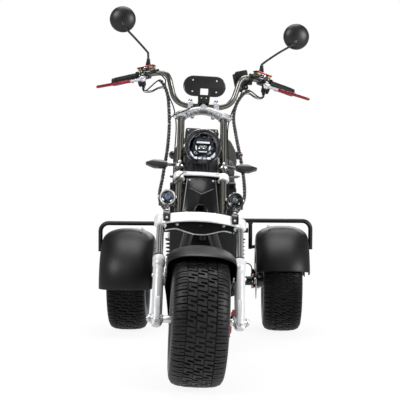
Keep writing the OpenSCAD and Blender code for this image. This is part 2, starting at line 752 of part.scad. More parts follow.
module fork_cover() {
    on_fork() color([0.05, 0.05, 0.05]) difference() {
        translate([0, -12, 0]) rotate([90, 0, 0]) linear_extrude(8) polygon([
            [-tube_x + tube_r + 3, cover_low], [tube_x - tube_r - 3, cover_low], [50, cover_high], [-50, cover_high]]);
        translate([0, 0, cover_low - 1]) rotate([90, 0, 0]) cylinder(h = 60, r = 24, center = true);
    }
}

box_low = mid_yoke_top + touch_gap;
box_high = 830;

module wiring_box() {
    on_fork() color([0.12, 0.12, 0.12]) translate([0, 34, box_low]) linear_extrude(box_high - box_low)
        polygon(rounded_box(2 * (tube_x - tube_r - 6), 52, 8, 4));
}

lamp_y = 386;            // middle of the headlamp, behind the front axle
lamp_z = 831;            // height of the headlamp's middle
lamp_r = 68;

module headlamp() {
    on_bars() color([0.08, 0.08, 0.08]) {
        translate([0, lamp_y - 56, lamp_z]) rotate([-90, 0, 0]) rotate_extrude() polygon([
            [0, 4], [lamp_r - 9, 2], [lamp_r - 5, 0], [lamp_r - 1, 1], [lamp_r, 5], [lamp_r, 22],
            [lamp_r - 5, 40], [lamp_r - 16, 58], [lamp_r - 34, 70], [0, 74]]);
    }
    on_fork() color([0.08, 0.08, 0.08]) for (s = [-1, 1])
        block([s * 30 - 5, -8, 706], [s * 30 + 5, 7.7, 722]);
}

indicator_z = 644;

module front_indicators() {
    on_fork() color([0.1, 0.1, 0.09]) for (s = [-1, 1]) scale_x(s) {
        difference() {
            translate([tube_x, 0, indicator_z - 11]) cylinder(h = 22, r = tube_r + 6);
            translate([tube_x, 0, indicator_z - 12]) cylinder(h = 24, r = tube_r + seat_gap);
        }
        translate([0, -4, indicator_z]) {
            axle(tube_x + tube_r + 4, 132, 6);
            translate([128, 0, 0]) rotate([0, 90, 0]) cylinder(h = 26, r1 = 8, r2 = 17, $fn = 32);
            translate([154, 0, 0]) rotate([0, 90, 0]) cylinder(h = 24, r = 17, $fn = 32);
            translate([178, 0, 0]) rotate([0, 90, 0]) cylinder(h = 33, r1 = 17, r2 = 4, $fn = 32);
        }
    }
}

spot_x = 124;
spot_y = 262;            // middle of a spot lamp, behind the front axle
spot_z = 641;
spot_r = 29;

module spot_lamps() {
    on_bars() color([0.06, 0.06, 0.06]) for (s = [-1, 1]) translate([s * spot_x, spot_y, spot_z])
        rotate([90, 0, 0]) rotate_extrude() polygon([
            [0, -30], [spot_r - 12, -30], [spot_r - 4, -22], [spot_r - 1, -8], [spot_r, 0], [spot_r, 22],
            [spot_r - 2, 25], [0, 25]]);
    on_fork() color([0.08, 0.08, 0.08]) for (s = [-1, 1]) {
        block([s * spot_x - 13, -39, lower_yoke_z + 6], [s * spot_x + 13, -35.5, lower_yoke_top + 4.3]);
        block([s * spot_x - 13, -39, lower_yoke_top + touch_gap], [s * spot_x + 13, -10, lower_yoke_top + 4.3]);
        translate([s * spot_x, -21, lower_yoke_top + 4]) cylinder(h = 58, r = 8);
    }
}

// ---------------------------------------------------------------- handlebar and controls

bar_z = 910;             // height of the bar's clamped stretch along the fork
bar_low = fork_point(0, riser_y, bar_z);
bar_half = [
    bar_low + [62, 0, 0], bar_low + [74, 0, 1.5], bar_low + [98, 2, 12], bar_low + [116, 5, 34],
    bar_low + [127, 9, 68], bar_low + [136, 12, 98], bar_low + [149, 16, 116], bar_low + [170, 21, 121],
    bar_low + [198, 27, 118]];
grip_start = bar_low + [210, 30, 115];
grip_end = bar_low + [356, 82, 77];
grip_dir = unit(grip_end - grip_start);
grip_span = norm(grip_end - grip_start);

function on_grip(d) = grip_start + d * grip_dir;

module handlebar() {
    right_half = concat([bar_low], smooth(bar_half, 4), [on_grip(2), on_grip(20), on_grip(grip_span - 6)]);
    n = len(right_half);
    left_half = mirrored([for (i = [n - 1:-1:1]) right_half[i]], -1);
    on_bars() color([0.7, 0.7, 0.68]) sweep(concat(left_half, right_half), bar_r, 16);
}

module bar_risers() {
    on_fork() color("silver") for (s = [-1, 1]) translate([s * 50, riser_y, 0]) difference() {
        union() {
            translate([0, 0, top_yoke_top + touch_gap]) cylinder(h = bar_z - top_yoke_top + 4, r = 12);
            translate([0, 0, bar_z]) axle(-10, 10, bar_r + 7);
            translate([0, 0, bar_z + 2]) cylinder(h = 22, r1 = 12, r2 = 8);
        }
        translate([0, 0, bar_z]) axle(-30, 30, bar_r + seat_gap + 0.2);
    }
}

grip_length = 108;

// Children are drawn with Z along the grip, from the given distance along it.
module along_grip(side, d) {
    on_bars() scale_x(side) translate(on_grip(d))
        rotate([0, acos(grip_dir[2]), atan2(grip_dir[1], grip_dir[0])]) children();
}

module grips() {
    start = grip_span - grip_length;
    color([0.06, 0.06, 0.06]) for (s = [-1, 1]) along_grip(s, start) difference() {
        union() {
            cylinder(h = grip_length, r = grip_r);
            cylinder(h = 6, r = grip_r + 5);
        }
        translate([0, 0, -1]) cylinder(h = grip_length - 4, r = bar_r + 0.3);
    }
}

// Along a grip: X points down from the bar, Y back and Z outward.
lever_root = [24, -50, 14];
lever_knee = [21, -58, 60];
lever_tip = [12, -58, 202];

module brake_levers() {
    color([0.65, 0.03, 0.06]) for (s = [-1, 1]) along_grip(s, 0) {
        rod(lever_root, lever_knee, 8);
        translate(lever_knee) sphere(r = 8);
        rod(lever_knee, lever_tip, 6.5);
        translate(lever_tip) sphere(r = 9);
    }
}

reservoir_top = 32;

module master_cylinders() {
    color([0.2, 0.18, 0.12]) for (s = [-1, 1]) along_grip(s, 0) difference() {
        union() {
            translate([0, 0, 2]) cylinder(h = 26, r = bar_r + 7);
            block([-reservoir_top, -22, -24], [-14, 22, 46]);
            block([-14, -60, 2], [lever_root[0] - 9.5, -8, 26]);
        }
        translate([0, 0, -20]) cylinder(h = 80, r = bar_r + touch_gap);
    }
}

module switch_pods() {
    start = grip_span - grip_length - touch_gap;
    color([0.06, 0.06, 0.06]) for (s = [-1, 1]) along_grip(s, 0) difference() {
        union() {
            translate([0, 0, 46 + touch_gap]) cylinder(h = start - 46 - touch_gap, r = bar_r + 9);
            block([2, -20, 28.3], [42, 16, start]);
        }
        translate([0, 0, 10]) cylinder(h = 80, r = bar_r + touch_gap);
    }
}

module phone_cradle() {
    low = bar_low + [170, 21, 121];
    high = bar_low + [198, 27, 118];
    on_bars() color([0.07, 0.07, 0.07]) difference() {
        union() {
            rod(low + 0.1 * (high - low), low + 0.6 * (high - low), bar_r + 8);
            translate(bar_low) {
                block([114, 40, 66], [178, 55, 154]);
                block([130, 53, 80], [168, 66, 142]);
                block([170, 30, 110], [184, 42, 128]);
            }
        }
        rod(low - 0.4 * (high - low), high + 0.4 * (high - low), bar_r + 4 * touch_gap);
    }
}

stem_rod_r = 4.5;
mirror_depth = 24;
// Points of each mirror's stem, from its seat on the master cylinder: the rider's left, then right.
mirror_stem_left = [[0, 0, 0], [0, 0, 24], [8, 0, 36], [66, 2, 80], [126, 6, 118]];
mirror_stem_right = [[0, 0, 0], [2, 0, 42], [8, 0, 54], [56, 2, 102], [102, 6, 145]];

module mirrors() {
    on_bars() color([0.06, 0.06, 0.06]) for (s = [-1, 1]) translate([s * mirror_base[0], mirror_base[1], mirror_base[2]])
        scale_x(s) mirror_arm(s > 0 ? mirror_stem_left : mirror_stem_right);
}

mirror_base = on_grip(12) + [0, -2, reservoir_top + 3.7];

module mirror_arm(stem) {
    tip = stem[len(stem) - 1];
    sweep(smooth(stem, 3), stem_rod_r, 12);
    cylinder(h = 22, r1 = 10, r2 = 6);
    translate(tip + [6, -4, 30]) rotate([-90, 0, 0]) rotate_extrude() polygon(concat(
        [for (i = [0:8]) let (a = 90 - 90 * i / 8) [mirror_r * cos(a), mirror_depth * (1 - sin(a))]],
        [[mirror_r, mirror_depth + 4], [mirror_r - 4, mirror_depth + 6], [0, mirror_depth + 6]]));
}

instrument_w = 160;
instrument_h = 76;

module instrument() {
    on_bars() color([0.05, 0.05, 0.05]) translate([0, bar_low[1] - 6, bar_low[2]]) {
        difference() {
            union() {
                translate([0, 0, 76]) rotate([90, 0, 0]) linear_extrude(16)
                    polygon(rounded_box(instrument_w, instrument_h, instrument_h / 2 - 0.5, 9));
                block([-24, -16, bar_r + touch_gap], [24, -12, 62]);
            }
            translate([0, 4, 55]) rotate([90, 0, 0]) linear_extrude(40) square([30, 24], center = true);
        }
        block([-24, -16, bar_r + touch_gap], [24, 24, bar_r + touch_gap + 4]);
    }
}

// The two wrapped looms hang from the controls beside the fork tubes, down to the lower yoke.
loom_r = 6.5;
loom_start = on_grip(40) + [-8, -5, -47.5];
loom_end = [fork_point(118, 16, lower_yoke_top + 30), fork_point(118, 16, lower_yoke_top + touch_gap)];
loom_left = [
    loom_start, [233, 541, 1042], [222, 540, 1038], [204, 534, 1047], [188, 529, 1058], [172, 525, 1060],
    [150, 520, 1041], [132, 512, 1011], [122, 503, 975], [121, 490, 940], [129, 472, 895], [144, 430, 820],
    [157, 402, 760], [165, 372, 700], [166, 345, 650], [150, 322, 612], loom_end[0]];
loom_right = [
    loom_start, [233, 541, 1042], [222, 539, 1041], [204, 532, 1058], [184, 526, 1077], [171, 523, 1080],
    [160, 519, 1069], [148, 514, 1049], [138, 508, 1018], [132, 498, 972], [128, 480, 917], [128, 462, 863],
    [132, 436, 803], [138, 412, 757], [144, 388, 705], [152, 360, 650], [146, 335, 615], loom_end[0]];

function loom_path(p) = concat(smooth(p, 3), [loom_end[1]]);

module cable_looms() {
    on_bars() color([0.05, 0.05, 0.05]) {
        sweep(loom_path(loom_left), loom_r, 10);
        scale_x(-1) sweep(loom_path(loom_right), loom_r, 10);
    }
}

// ---------------------------------------------------------------- nodes

main_frame();
seat_box();
foot_board();
belly_tray();
rear_rack();
tail_lamp();
rear_indicators();
plate_holder();
fender_hoops();
rear_fender(1);  // rear_fender_left
rear_fender(-1);  // rear_fender_right
swing_arm();
rear_axle();
rear_shocks();
rear_calipers();
saddle_pan();
saddle_cushion();
at_rear_wheel(1) tyre(rear_tyre_w);  // rear_tyre_left
rear_rim(1);  // rear_rim_left
rear_disc(1);  // rear_disc_left
at_rear_wheel(-1) tyre(rear_tyre_w);  // rear_tyre_right
rear_rim(-1);  // rear_rim_right
rear_disc(-1);  // rear_disc_right
lower_yoke();
mid_yoke();
top_yoke();
fork_tubes();
fork_stanchions();
fork_sliders();
front_axle();
front_fender();
front_caliper();
fork_cover();
wiring_box();
headlamp();
front_indicators();
spot_lamps();
handlebar();
bar_risers();
grips();
brake_levers();
master_cylinders();
switch_pods();
phone_cradle();
mirrors();
instrument();
cable_looms();
front_tyre();
front_rim();
front_disc();
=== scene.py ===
"""Looks of the motorized trike: every visible piece is built or finished here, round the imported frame."""

import json
import math

import bmesh
import bpy
from bpy.props import FloatProperty, FloatVectorProperty, PointerProperty
from bpy.types import Operator, Panel, PropertyGroup
from mathutils import Matrix, Vector


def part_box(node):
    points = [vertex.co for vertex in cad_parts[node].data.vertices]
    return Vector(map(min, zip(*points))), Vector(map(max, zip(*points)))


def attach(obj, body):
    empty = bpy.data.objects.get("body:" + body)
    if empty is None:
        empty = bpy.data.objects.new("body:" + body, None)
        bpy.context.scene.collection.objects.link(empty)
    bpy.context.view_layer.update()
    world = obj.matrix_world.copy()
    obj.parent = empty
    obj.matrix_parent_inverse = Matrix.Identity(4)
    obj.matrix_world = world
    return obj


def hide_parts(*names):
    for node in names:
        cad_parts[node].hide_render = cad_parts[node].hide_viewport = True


bl_info = {
    "name": "Motorized trike",
    "version": (1, 0, 0),
    "blender": (4, 5, 0),
    "location": "3D View > Sidebar > Trike",
    "description": "Builds the visible pieces and finishes of a motorized trike on its packed frame",
    "category": "Add Mesh",
}

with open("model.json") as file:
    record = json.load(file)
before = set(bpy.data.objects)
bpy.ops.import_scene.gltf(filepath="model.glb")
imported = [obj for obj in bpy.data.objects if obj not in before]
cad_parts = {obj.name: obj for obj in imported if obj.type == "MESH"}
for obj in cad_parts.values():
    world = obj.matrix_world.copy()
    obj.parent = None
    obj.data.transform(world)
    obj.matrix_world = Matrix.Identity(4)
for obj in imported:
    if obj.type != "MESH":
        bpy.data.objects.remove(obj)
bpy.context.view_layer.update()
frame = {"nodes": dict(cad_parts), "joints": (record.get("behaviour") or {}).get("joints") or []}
NODES = frame["nodes"]
MM = 0.001
JOINTS = {joint["name"]: joint for joint in frame["joints"]}


# ------------------------------------------------------------------ places

def basis(x, y, z, origin):
    """The matrix that carries millimetres along x, y and z from origin into the model's metres."""
    m = Matrix((x, y, z)).transposed().to_4x4()
    return Matrix.Translation(origin) @ m @ Matrix.Scale(MM, 4)


STEER_AXIS = Vector(JOINTS["steer"]["axis"])
AXLE_AXIS = Vector(JOINTS["front_wheel_spin"]["axis"])
AXLE_POINT = Vector(JOINTS["front_wheel_spin"]["pos_m"])
RAKE = math.acos(STEER_AXIS.z)
BACK_AXIS = STEER_AXIS.cross(AXLE_AXIS)
# Millimetres along the fork: X to the rider's left, Y back, Z up the legs, from the front axle.
FORK = basis(AXLE_AXIS, BACK_AXIS, STEER_AXIS, AXLE_POINT)
# The same point and X, but with Y and Z level and upright when the steering is straight.
BARS = FORK @ Matrix.Rotation(RAKE, 4, "X")
FRONT_AXLE_Z = AXLE_POINT.z / MM
REAR_AXLE = Vector(JOINTS["rear_wheel_left_spin"]["pos_m"])
# Millimetres in the vehicle's own axes, from the ground below the front axle.
CHASSIS = Matrix.Translation((0, AXLE_POINT.y, 0)) @ Matrix.Scale(MM, 4)


def rear_place(side):
    """Millimetres from the middle of a rear wheel, X outward from the vehicle."""
    spot = Matrix.Translation((side * REAR_AXLE.x, REAR_AXLE.y, REAR_AXLE.z))
    return spot @ Matrix.Diagonal((side * MM, MM, MM, 1))


def size_of(node):
    low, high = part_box(node)
    return high - low


# ------------------------------------------------------------------ finishes

class Socket:
    """A shader value whose arithmetic adds Math nodes."""

    def __init__(self, finish, socket):
        self.finish, self.socket = finish, socket

    def maths(self, operation, *values, clamp=False):
        return self.finish.node("ShaderNodeMath", {"operation": operation, "use_clamp": clamp}, values)

    def __add__(self, other):
        return self.maths("ADD", self, other)

    def __radd__(self, other):
        return self.maths("ADD", other, self)

    def __sub__(self, other):
        return self.maths("SUBTRACT", self, other)

    def __rsub__(self, other):
        return self.maths("SUBTRACT", other, self)

    def __mul__(self, other):
        return self.maths("MULTIPLY", self, other)

    def __rmul__(self, other):
        return self.maths("MULTIPLY", other, self)

    def __truediv__(self, other):
        return self.maths("DIVIDE", self, other)

    def __pow__(self, other):
        return self.maths("POWER", self, other)

    def above(self, edge, soft):
        """0 below edge, rising to 1 over the width soft."""
        return self.maths("MULTIPLY", self - edge, 1 / soft, clamp=True)


class Finish:
    """A node material under construction."""

    def __init__(self, name):
        self.material = bpy.data.materials.new(name)
        self.material.use_nodes = True
        self.tree = self.material.node_tree
        self.tree.nodes.clear()
        self.output = self.tree.nodes.new("ShaderNodeOutputMaterial")
        self.shader = self.tree.nodes.new("ShaderNodeBsdfPrincipled")
        self.tree.links.new(self.shader.outputs[0], self.output.inputs[0])
        self.coords = self.node("ShaderNodeTexCoord", out="Object")

    def feed(self, socket, value):
        if isinstance(value, Socket):
            self.tree.links.new(value.socket, socket)
        else:
            socket.default_value = value

    def node(self, kind, settings=None, inputs=(), out=0):
        """Adds a node: its settings first, then its inputs as a list or by name. Returns one output."""
        made = self.tree.nodes.new(kind)
        for key, value in (settings or {}).items():
            if key == "stops":
                ramp = made.color_ramp
                while len(ramp.elements) < len(value):
                    ramp.elements.new(0.5)
                for element, (place, colour) in zip(ramp.elements, value):
                    element.position, element.color = place, colour
            else:
                setattr(made, key, value)
        pairs = inputs.items() if isinstance(inputs, dict) else enumerate(inputs)
        for key, value in pairs:
            self.feed(made.inputs[key], value)
        return Socket(self, made.outputs[out])

    def moved(self, scale):
        """The coordinates, drawn out or shrunk along each axis."""
        return self.node("ShaderNodeMapping", {}, {"Vector": self.coords, "Scale": scale})

    def noise(self, scale, detail=3.0, rough=0.55, vector=None):
        return self.node("ShaderNodeTexNoise", {}, {
            "Vector": vector or self.coords, "Scale": scale, "Detail": detail, "Roughness": rough})

    def cells(self, scale, feature="F1"):
        return self.node("ShaderNodeTexVoronoi", {"feature": feature},
                         {"Vector": self.coords, "Scale": scale})

    def mix(self, mask, first, second):
        """A colour that is first where mask is 0 and second where it is 1."""
        return self.node("ShaderNodeMix", {"data_type": "RGBA"}, {0: mask, 6: first, 7: second}, out=2)

    def bump(self, height, distance, strength=1.0):
        return self.node("ShaderNodeBump", {}, {
            "Height": height, "Distance": distance, "Strength": strength})

    def surface(self, **sockets):
        names = {"colour": "Base Color", "roughness": "Roughness", "metallic": "Metallic", "normal": "Normal",
                 "coat": "Coat Weight", "coat_roughness": "Coat Roughness", "ior": "IOR", "alpha": "Alpha",
                 "specular": "Specular IOR Level", "transmission": "Transmission Weight",
                 "glow": "Emission Color", "glow_strength": "Emission Strength", "sheen": "Sheen Weight",
                 "sheen_roughness": "Sheen Roughness"}
        for key, value in sockets.items():
            self.feed(self.shader.inputs[names[key]], value)
        return self.material


class Surroundings(Finish):
    """The world's nodes, built the same way as a finish."""

    def __init__(self, world):
        world.use_nodes = True
        self.tree = world.node_tree
        self.tree.nodes.clear()
        self.output = self.tree.nodes.new("ShaderNodeOutputWorld")
        self.coords = self.node("ShaderNodeTexCoord", out="Generated")


def grey(value):
    return (value, value, value, 1.0)


def rgb(colour):
    return (*tuple(colour)[:3], 1.0)


def shade(colour, factor):
    return tuple(c * factor for c in tuple(colour)[:3]) + (1.0,)


def painted(name, colour, roughness=0.3, grain=0.25, coat=0.2, specular=0.4):
    """Sprayed paint on metal: faint orange peel, dust in the low places."""
    f = Finish(name)
    peel = f.noise(700, 2)
    dust = f.noise(14, 5, 0.65)
    wear = f.noise(160, 4, 0.7).above(0.66, 0.12)
    tone = f.mix(dust.above(0.52, 0.3) * 0.3, rgb(colour), shade(colour, 1.5))
    return f.surface(colour=f.mix(wear * 0.12, tone, shade(colour, 2.0)),
                     roughness=roughness + dust * 0.1 + wear * 0.06, specular=specular,
                     normal=f.bump(peel, 0.00012 * grain), coat=coat, coat_roughness=0.12)


def moulded(name, colour, roughness=0.5, grain=0.0004, cell=900, specular=0.3):
    """Grained plastic."""
    f = Finish(name)
    texture = f.cells(cell) + f.noise(cell * 0.6, 2) * 0.5
    cloud = f.noise(9, 4, 0.6)
    scuff = f.noise(70, 5, 0.75).above(0.62, 0.2)
    tone = f.mix(cloud, shade(colour, 0.8), shade(colour, 1.25))
    return f.surface(colour=f.mix(scuff * 0.2, tone, shade(colour, 1.9)),
                     roughness=roughness + cloud * 0.1 + scuff * 0.06 - 0.05,
                     normal=f.bump(texture, grain, 0.25), specular=specular)


def satin(name, colour):
    """Smooth moulded plastic with a soft sheen."""
    f = Finish(name)
    cloud = f.noise(7, 3, 0.5)
    skin = f.noise(90, 3, 0.5)
    return f.surface(colour=f.mix(cloud, shade(colour, 0.8), shade(colour, 1.2)),
                     roughness=0.34 + cloud * 0.06 + skin * 0.04, normal=f.bump(skin, 0.00002, 0.3),
                     specular=0.45)


def polished(name, colour, roughness=0.06):
    """Chromium plate with a few fine scratches and water marks."""
    f = Finish(name)
    smear = f.noise(25, 4, 0.6)
    scratch = f.noise(400, 2, 0.5, f.moved((1, 1, 0.08)))
    return f.surface(colour=f.mix(smear, shade(colour, 0.9), rgb(colour)), metallic=1.0,
                     roughness=roughness + smear * 0.05, normal=f.bump(scratch, 0.000006, 0.3))


def cast(name, colour, roughness=0.36, metallic=0.65):
    """Silver paint over a sand casting."""
    f = Finish(name)
    skin = f.noise(520, 4, 0.6)
    flow = f.noise(30, 3, 0.5)
    grime = f.noise(60, 6, 0.7).above(0.6, 0.25)
    tone = f.mix(flow, shade(colour, 0.93), rgb(colour))
    return f.surface(colour=f.mix(grime * 0.22, tone, shade(colour, 0.5)), metallic=metallic,
                     roughness=roughness + skin * 0.1 + grime * 0.1, normal=f.bump(skin, 0.0003, 0.35),
                     coat=0.25, coat_roughness=0.2)


def machined(name, colour, roughness=0.28):
    """Turned or ground steel with fine lines and spots of oil."""
    f = Finish(name)
    lines = f.noise(700, 2, 0.5, f.moved((1, 0.1, 0.1)))
    oil = f.noise(45, 4, 0.6).above(0.55, 0.2)
    return f.surface(colour=f.mix(oil * 0.4, rgb(colour), shade(colour, 0.55)), metallic=1.0,
                     roughness=roughness + lines * 0.12, normal=f.bump(lines, 0.00006, 0.5))


def tyre_rubber(name, colour):
    """Tyre rubber: dusty in the hollows, a little shine on the sides."""
    f = Finish(name)
    skin = f.noise(700, 4, 0.65)
    dust = f.noise(22, 6, 0.7).above(0.42, 0.4)
    streak = f.noise(120, 3, 0.6)
    tone = f.mix(dust * 0.55, rgb(colour), shade((1.0, 0.97, 0.92), 0.016))
    return f.surface(colour=f.mix(streak * 0.3, tone, shade(colour, 0.6)),
                     roughness=0.36 + dust * 0.14 + skin * 0.06, normal=f.bump(skin, 0.0002, 0.3),
                     specular=0.28)


def gloss(name, colour, roughness=0.08, coat=1.0):
    """Lacquered or lens-like plastic."""
    f = Finish(name)
    haze = f.noise(30, 4, 0.6)
    ripple = f.noise(120, 2)
    return f.surface(colour=f.mix(haze, shade(colour, 0.85), shade(colour, 1.15)),
                     roughness=roughness + haze * 0.08, coat=coat, coat_roughness=0.04,
                     normal=f.bump(ripple, 0.00008, 0.3))


def anodised(name, colour):
    f = Finish(name)
    lines = f.noise(600, 2, 0.5, f.moved((0.15, 1, 1)))
    cloud = f.noise(40, 3)
    return f.surface(colour=f.mix(cloud, shade(colour, 0.8), rgb(colour)), metallic=0.85,
                     roughness=0.26 + lines * 0.12, normal=f.bump(lines, 0.00006, 0.5), coat=0.3)


def grained_leather(name, colour):
    f = Finish(name)
    pebble = f.cells(420, feature="DISTANCE_TO_EDGE")
    crease = f.noise(60, 6, 0.7)
    rub = f.noise(12, 3, 0.5).above(0.5, 0.3)
    return f.surface(colour=f.mix(rub * 0.4 + crease * 0.2, rgb(colour), shade(colour, 1.8)),
                     roughness=0.52 - rub * 0.1, normal=f.bump(pebble.above(0.0, 0.25) + crease * 0.6, 0.0007,
                                                               0.5),
                     sheen=0.15)


def tread_rubber(name, colour, dusty=0.5, specular=0.35):
    """Moulded tread: matt black blocks with pale dust along their edges."""
    f = Finish(name)
    skin = f.noise(500, 4, 0.65)
    dust = f.noise(30, 5, 0.7).above(0.5, 0.35)
    tone = f.mix(dust * dusty, rgb(colour), shade((1.0, 0.96, 0.9), 0.028))
    return f.surface(colour=tone, roughness=0.45 + dust * 0.2 + skin * 0.08, specular=specular,
                     normal=f.bump(skin, 0.0005, 0.5))


def glass(name, colour):
    """Clear or tinted plastic that shows what lies behind it."""
    f = Finish(name)
    haze = f.noise(60, 3, 0.5)
    return f.surface(colour=f.mix(haze, shade(colour, 0.96), rgb(colour)), roughness=0.02 + haze * 0.03,
                     transmission=1.0, ior=1.05, specular=0.5)


def lit(name, colour, glow, strength):
    """A lens element that shines a little; on the master cylinders' sight windows the glow is a painted
    glint.
    """
    f = Finish(name)
    facet = f.cells(260)
    return f.surface(colour=f.mix(facet, shade(colour, 0.7), rgb(colour)), roughness=0.12 + facet * 0.1,
                     coat=1.0, glow=f.mix(facet, shade(glow, 0.7), rgb(glow)), glow_strength=strength,
                     normal=f.bump(facet, 0.0003, 0.5))


FINISHES = {}


def make_finishes(colours):
    """Makes every finish once, under the names that the pieces ask for."""
    FINISHES.update(
        frame_paint=painted("frame_paint", (0.004, 0.004, 0.0045), 0.34, coat=0.1, specular=0.35),
        fender_plastic=painted("fender_plastic", colours.fender, 0.36, 0.4, 0.0, 0.3),
        dark_plastic=moulded("dark_plastic", (0.006, 0.006, 0.0065), 0.48),
        box_plastic=moulded("box_plastic", (0.028, 0.028, 0.031), 0.55),
        gloss_black=gloss("gloss_black", (0.008, 0.008, 0.009), 0.16, 0.6),
        body_gloss=painted("body_gloss", (0.002, 0.002, 0.0023), 0.2, 0.3, 0.15, 0.2),
        panel_black=painted("panel_black", (0.003, 0.003, 0.0033), 0.26, 0.3, 0.2, 0.2),
        # A mid grey line along the fork cover's crease: a painted highlight.
        panel_edge=painted("panel_edge", (0.12, 0.12, 0.125), 0.3, 0.2, 0.4),
        # Near-black with almost no shine: painted shade in the hollows under the yokes, the lever's dimples
        # and the pod's seam.
        recess_black=moulded("recess_black", (0.001, 0.001, 0.0011), 0.7, specular=0.08),
        wrap_strip=gloss("wrap_strip", (0.09, 0.09, 0.093), 0.2, 1.0),
        # A darker grey for the floor of the top yoke's pocket: painted shade.
        recess_grey=cast("recess_grey", (0.22, 0.225, 0.24), 0.4, 0.5),
        plate_black=moulded("plate_black", (0.0075, 0.0075, 0.0082), 0.45, 0.0002, 1400),
        plate_blank=painted("plate_blank", (0.62, 0.62, 0.6), 0.45, 0.2, 0.1),
        silver_cast=cast("silver_cast", colours.castings, 0.34, 0.25),
        bright_cast=cast("bright_cast", (0.5, 0.51, 0.53), 0.26, 0.35),
        slider_paint=cast("slider_paint", shade(colours.castings, 0.78)[:3], 0.3, 0.2),
        gold_cast=cast("gold_cast", (0.30, 0.25, 0.13), 0.36, 0.8),
        chrome=polished("chrome", (0.62, 0.62, 0.62), 0.1),
        bar_chrome=polished("bar_chrome", (0.19, 0.185, 0.165), 0.26),
        dark_chrome=polished("dark_chrome", (0.28, 0.28, 0.29), 0.16),
        smoke_chrome=polished("smoke_chrome", (0.32, 0.31, 0.27), 0.12),
        lamp_chrome=polished("lamp_chrome", (0.75, 0.76, 0.78), 0.08),
        lamp_bowl=polished("lamp_bowl", (0.16, 0.16, 0.17), 0.14),
        lamp_ring=gloss("lamp_ring", (0.012, 0.012, 0.013), 0.1, 1.0),
        lamp_bar=lit("lamp_bar", (0.7, 0.72, 0.75), (0.85, 0.9, 1.0), 0.4),
        lamp_eye=lit("lamp_eye", (0.10, 0.11, 0.12), (0.3, 0.33, 0.36), 0.08),
        lamp_blue=lit("lamp_blue", (0.06, 0.11, 0.18), (0.35, 0.6, 0.9), 0.12),
        clear_glass=glass("clear_glass", (0.96, 0.97, 1.0)),
        steel=machined("steel", (0.62, 0.62, 0.62)),
        screw_bright=machined("screw_bright", (0.8, 0.8, 0.8), 0.4),
        machined_lip=machined("machined_lip", (0.55, 0.55, 0.56), 0.22),
        disc_steel=machined("disc_steel", (0.42, 0.42, 0.42), 0.22),
        carrier=painted("carrier", (0.02, 0.02, 0.022), 0.35, 0.2, 0.3),
        # Near-black plugs in the brake discs' drilled holes: painted shade.
        hole_dark=moulded("hole_dark", (0.004, 0.004, 0.004), 0.8),
        weld=cast("weld", (0.02, 0.02, 0.022), 0.4, 0.3),
        tyre=tyre_rubber("tyre", (0.0025, 0.0025, 0.0027)),
        tread=tread_rubber("tread", (0.0035, 0.0035, 0.0038)),
        # A darker, less shiny copy of the tread for the rear tyres: painted shade for the shadow under the
        # rear fenders.
        rear_tread=tread_rubber("rear_tread", (0.0012, 0.0012, 0.0014), 0.3, 0.14),
        rim_paint=painted("rim_paint", (0.015, 0.015, 0.017), 0.3, 0.25, 0.6),
        red=anodised("red", colours.accents),
        caliper_red=painted("caliper_red", (0.42, 0.012, 0.02), 0.28, 0.25, 0.6),
        leather=grained_leather("leather", (0.008, 0.008, 0.008)),
        piping=moulded("piping", (0.02, 0.02, 0.02), 0.45, 0.0003, 600),
        rubber=moulded("rubber", (0.006, 0.006, 0.0065), 0.55, 0.0003, 500),
        stem_black=satin("stem_black", (0.010, 0.010, 0.011)),
        mirror_back=satin("mirror_back", (0.0055, 0.0055, 0.006)),
        mirror_glass=polished("mirror_glass", (0.7, 0.72, 0.74), 0.03),
        red_lens=gloss("red_lens", (0.32, 0.005, 0.006)),
        amber_lens=gloss("amber_lens", (0.55, 0.14, 0.01)),
        smoked_lens=gloss("smoked_lens", (0.014, 0.013, 0.010), 0.14, 0.6),
    )


# ------------------------------------------------------------------ shapes

ALONG_X = Matrix.Rotation(math.radians(90), 4, "Y")      # lays a shape made along Z along X
FORWARD = Matrix.Rotation(math.radians(90), 4, "X")      # lays a shape made along Z along -Y
HERE = Matrix()


def at(x, y, z):
    return Matrix.Translation((x, y, z))


def turn(axis, degrees):
    return Matrix.Rotation(math.radians(degrees), 4, axis)


def sided(side):
    return Matrix.Diagonal((side, 1, 1, 1))


def arc(x, y, r, start, end, steps=8):
    """Points round (x, y), between two angles in degrees."""
    angles = (math.radians(start + (end - start) * i / steps) for i in range(steps + 1))
    return [(x + r * math.cos(a), y + r * math.sin(a)) for a in angles]


def flowing(points, steps=4):
    """More points on a smooth line through the given ones."""
    points = [Vector(p) for p in points]
    line = []
    for i in range(len(points) - 1):
        a, b, c, d = (points[min(max(i + k, 0), len(points) - 1)] for k in (-1, 0, 1, 2))
        for j in range(steps):
            t = j / steps
            line.append(0.5 * (2 * b + (c - a) * t + (2 * a - 5 * b + 4 * c - d) * t * t
                               + (3 * b - a - 3 * c + d) * t ** 3))
    return line + [points[-1]]


def bevel(shape, edges, width, segments):
    bmesh.ops.bevel(shape, geom=edges, offset=width, segments=segments, profile=0.5, affect="EDGES",
                    clamp_overlap=True, material=-1)


def corners_of(made):
    """The corners among what an operator made."""
    return [v for v in made["geom"] if isinstance(v, bmesh.types.BMVert)]


def soften(shape, width, segments=2, over=30):
    """Rounds the sharp edges."""
    if width:
        sharp = [e for e in shape.edges if e.is_manifold and e.calc_face_angle() > math.radians(over)]
        bevel(shape, sharp, width, segments)
    return shape


def spun(profile, steps=40, edge=0.0):
    """Spins (radius, height) points round Z."""
    shape = bmesh.new()
    verts = [shape.verts.new((r, 0, z)) for r, z in profile]
    edges = [shape.edges.new(pair) for pair in zip(verts, verts[1:])]
    bmesh.ops.spin(shape, geom=verts + edges, cent=(0, 0, 0), axis=(0, 0, 1), angle=math.tau, steps=steps,
                   use_merge=True)
    bmesh.ops.remove_doubles(shape, verts=shape.verts, dist=0.001)
    return soften(shape, edge)


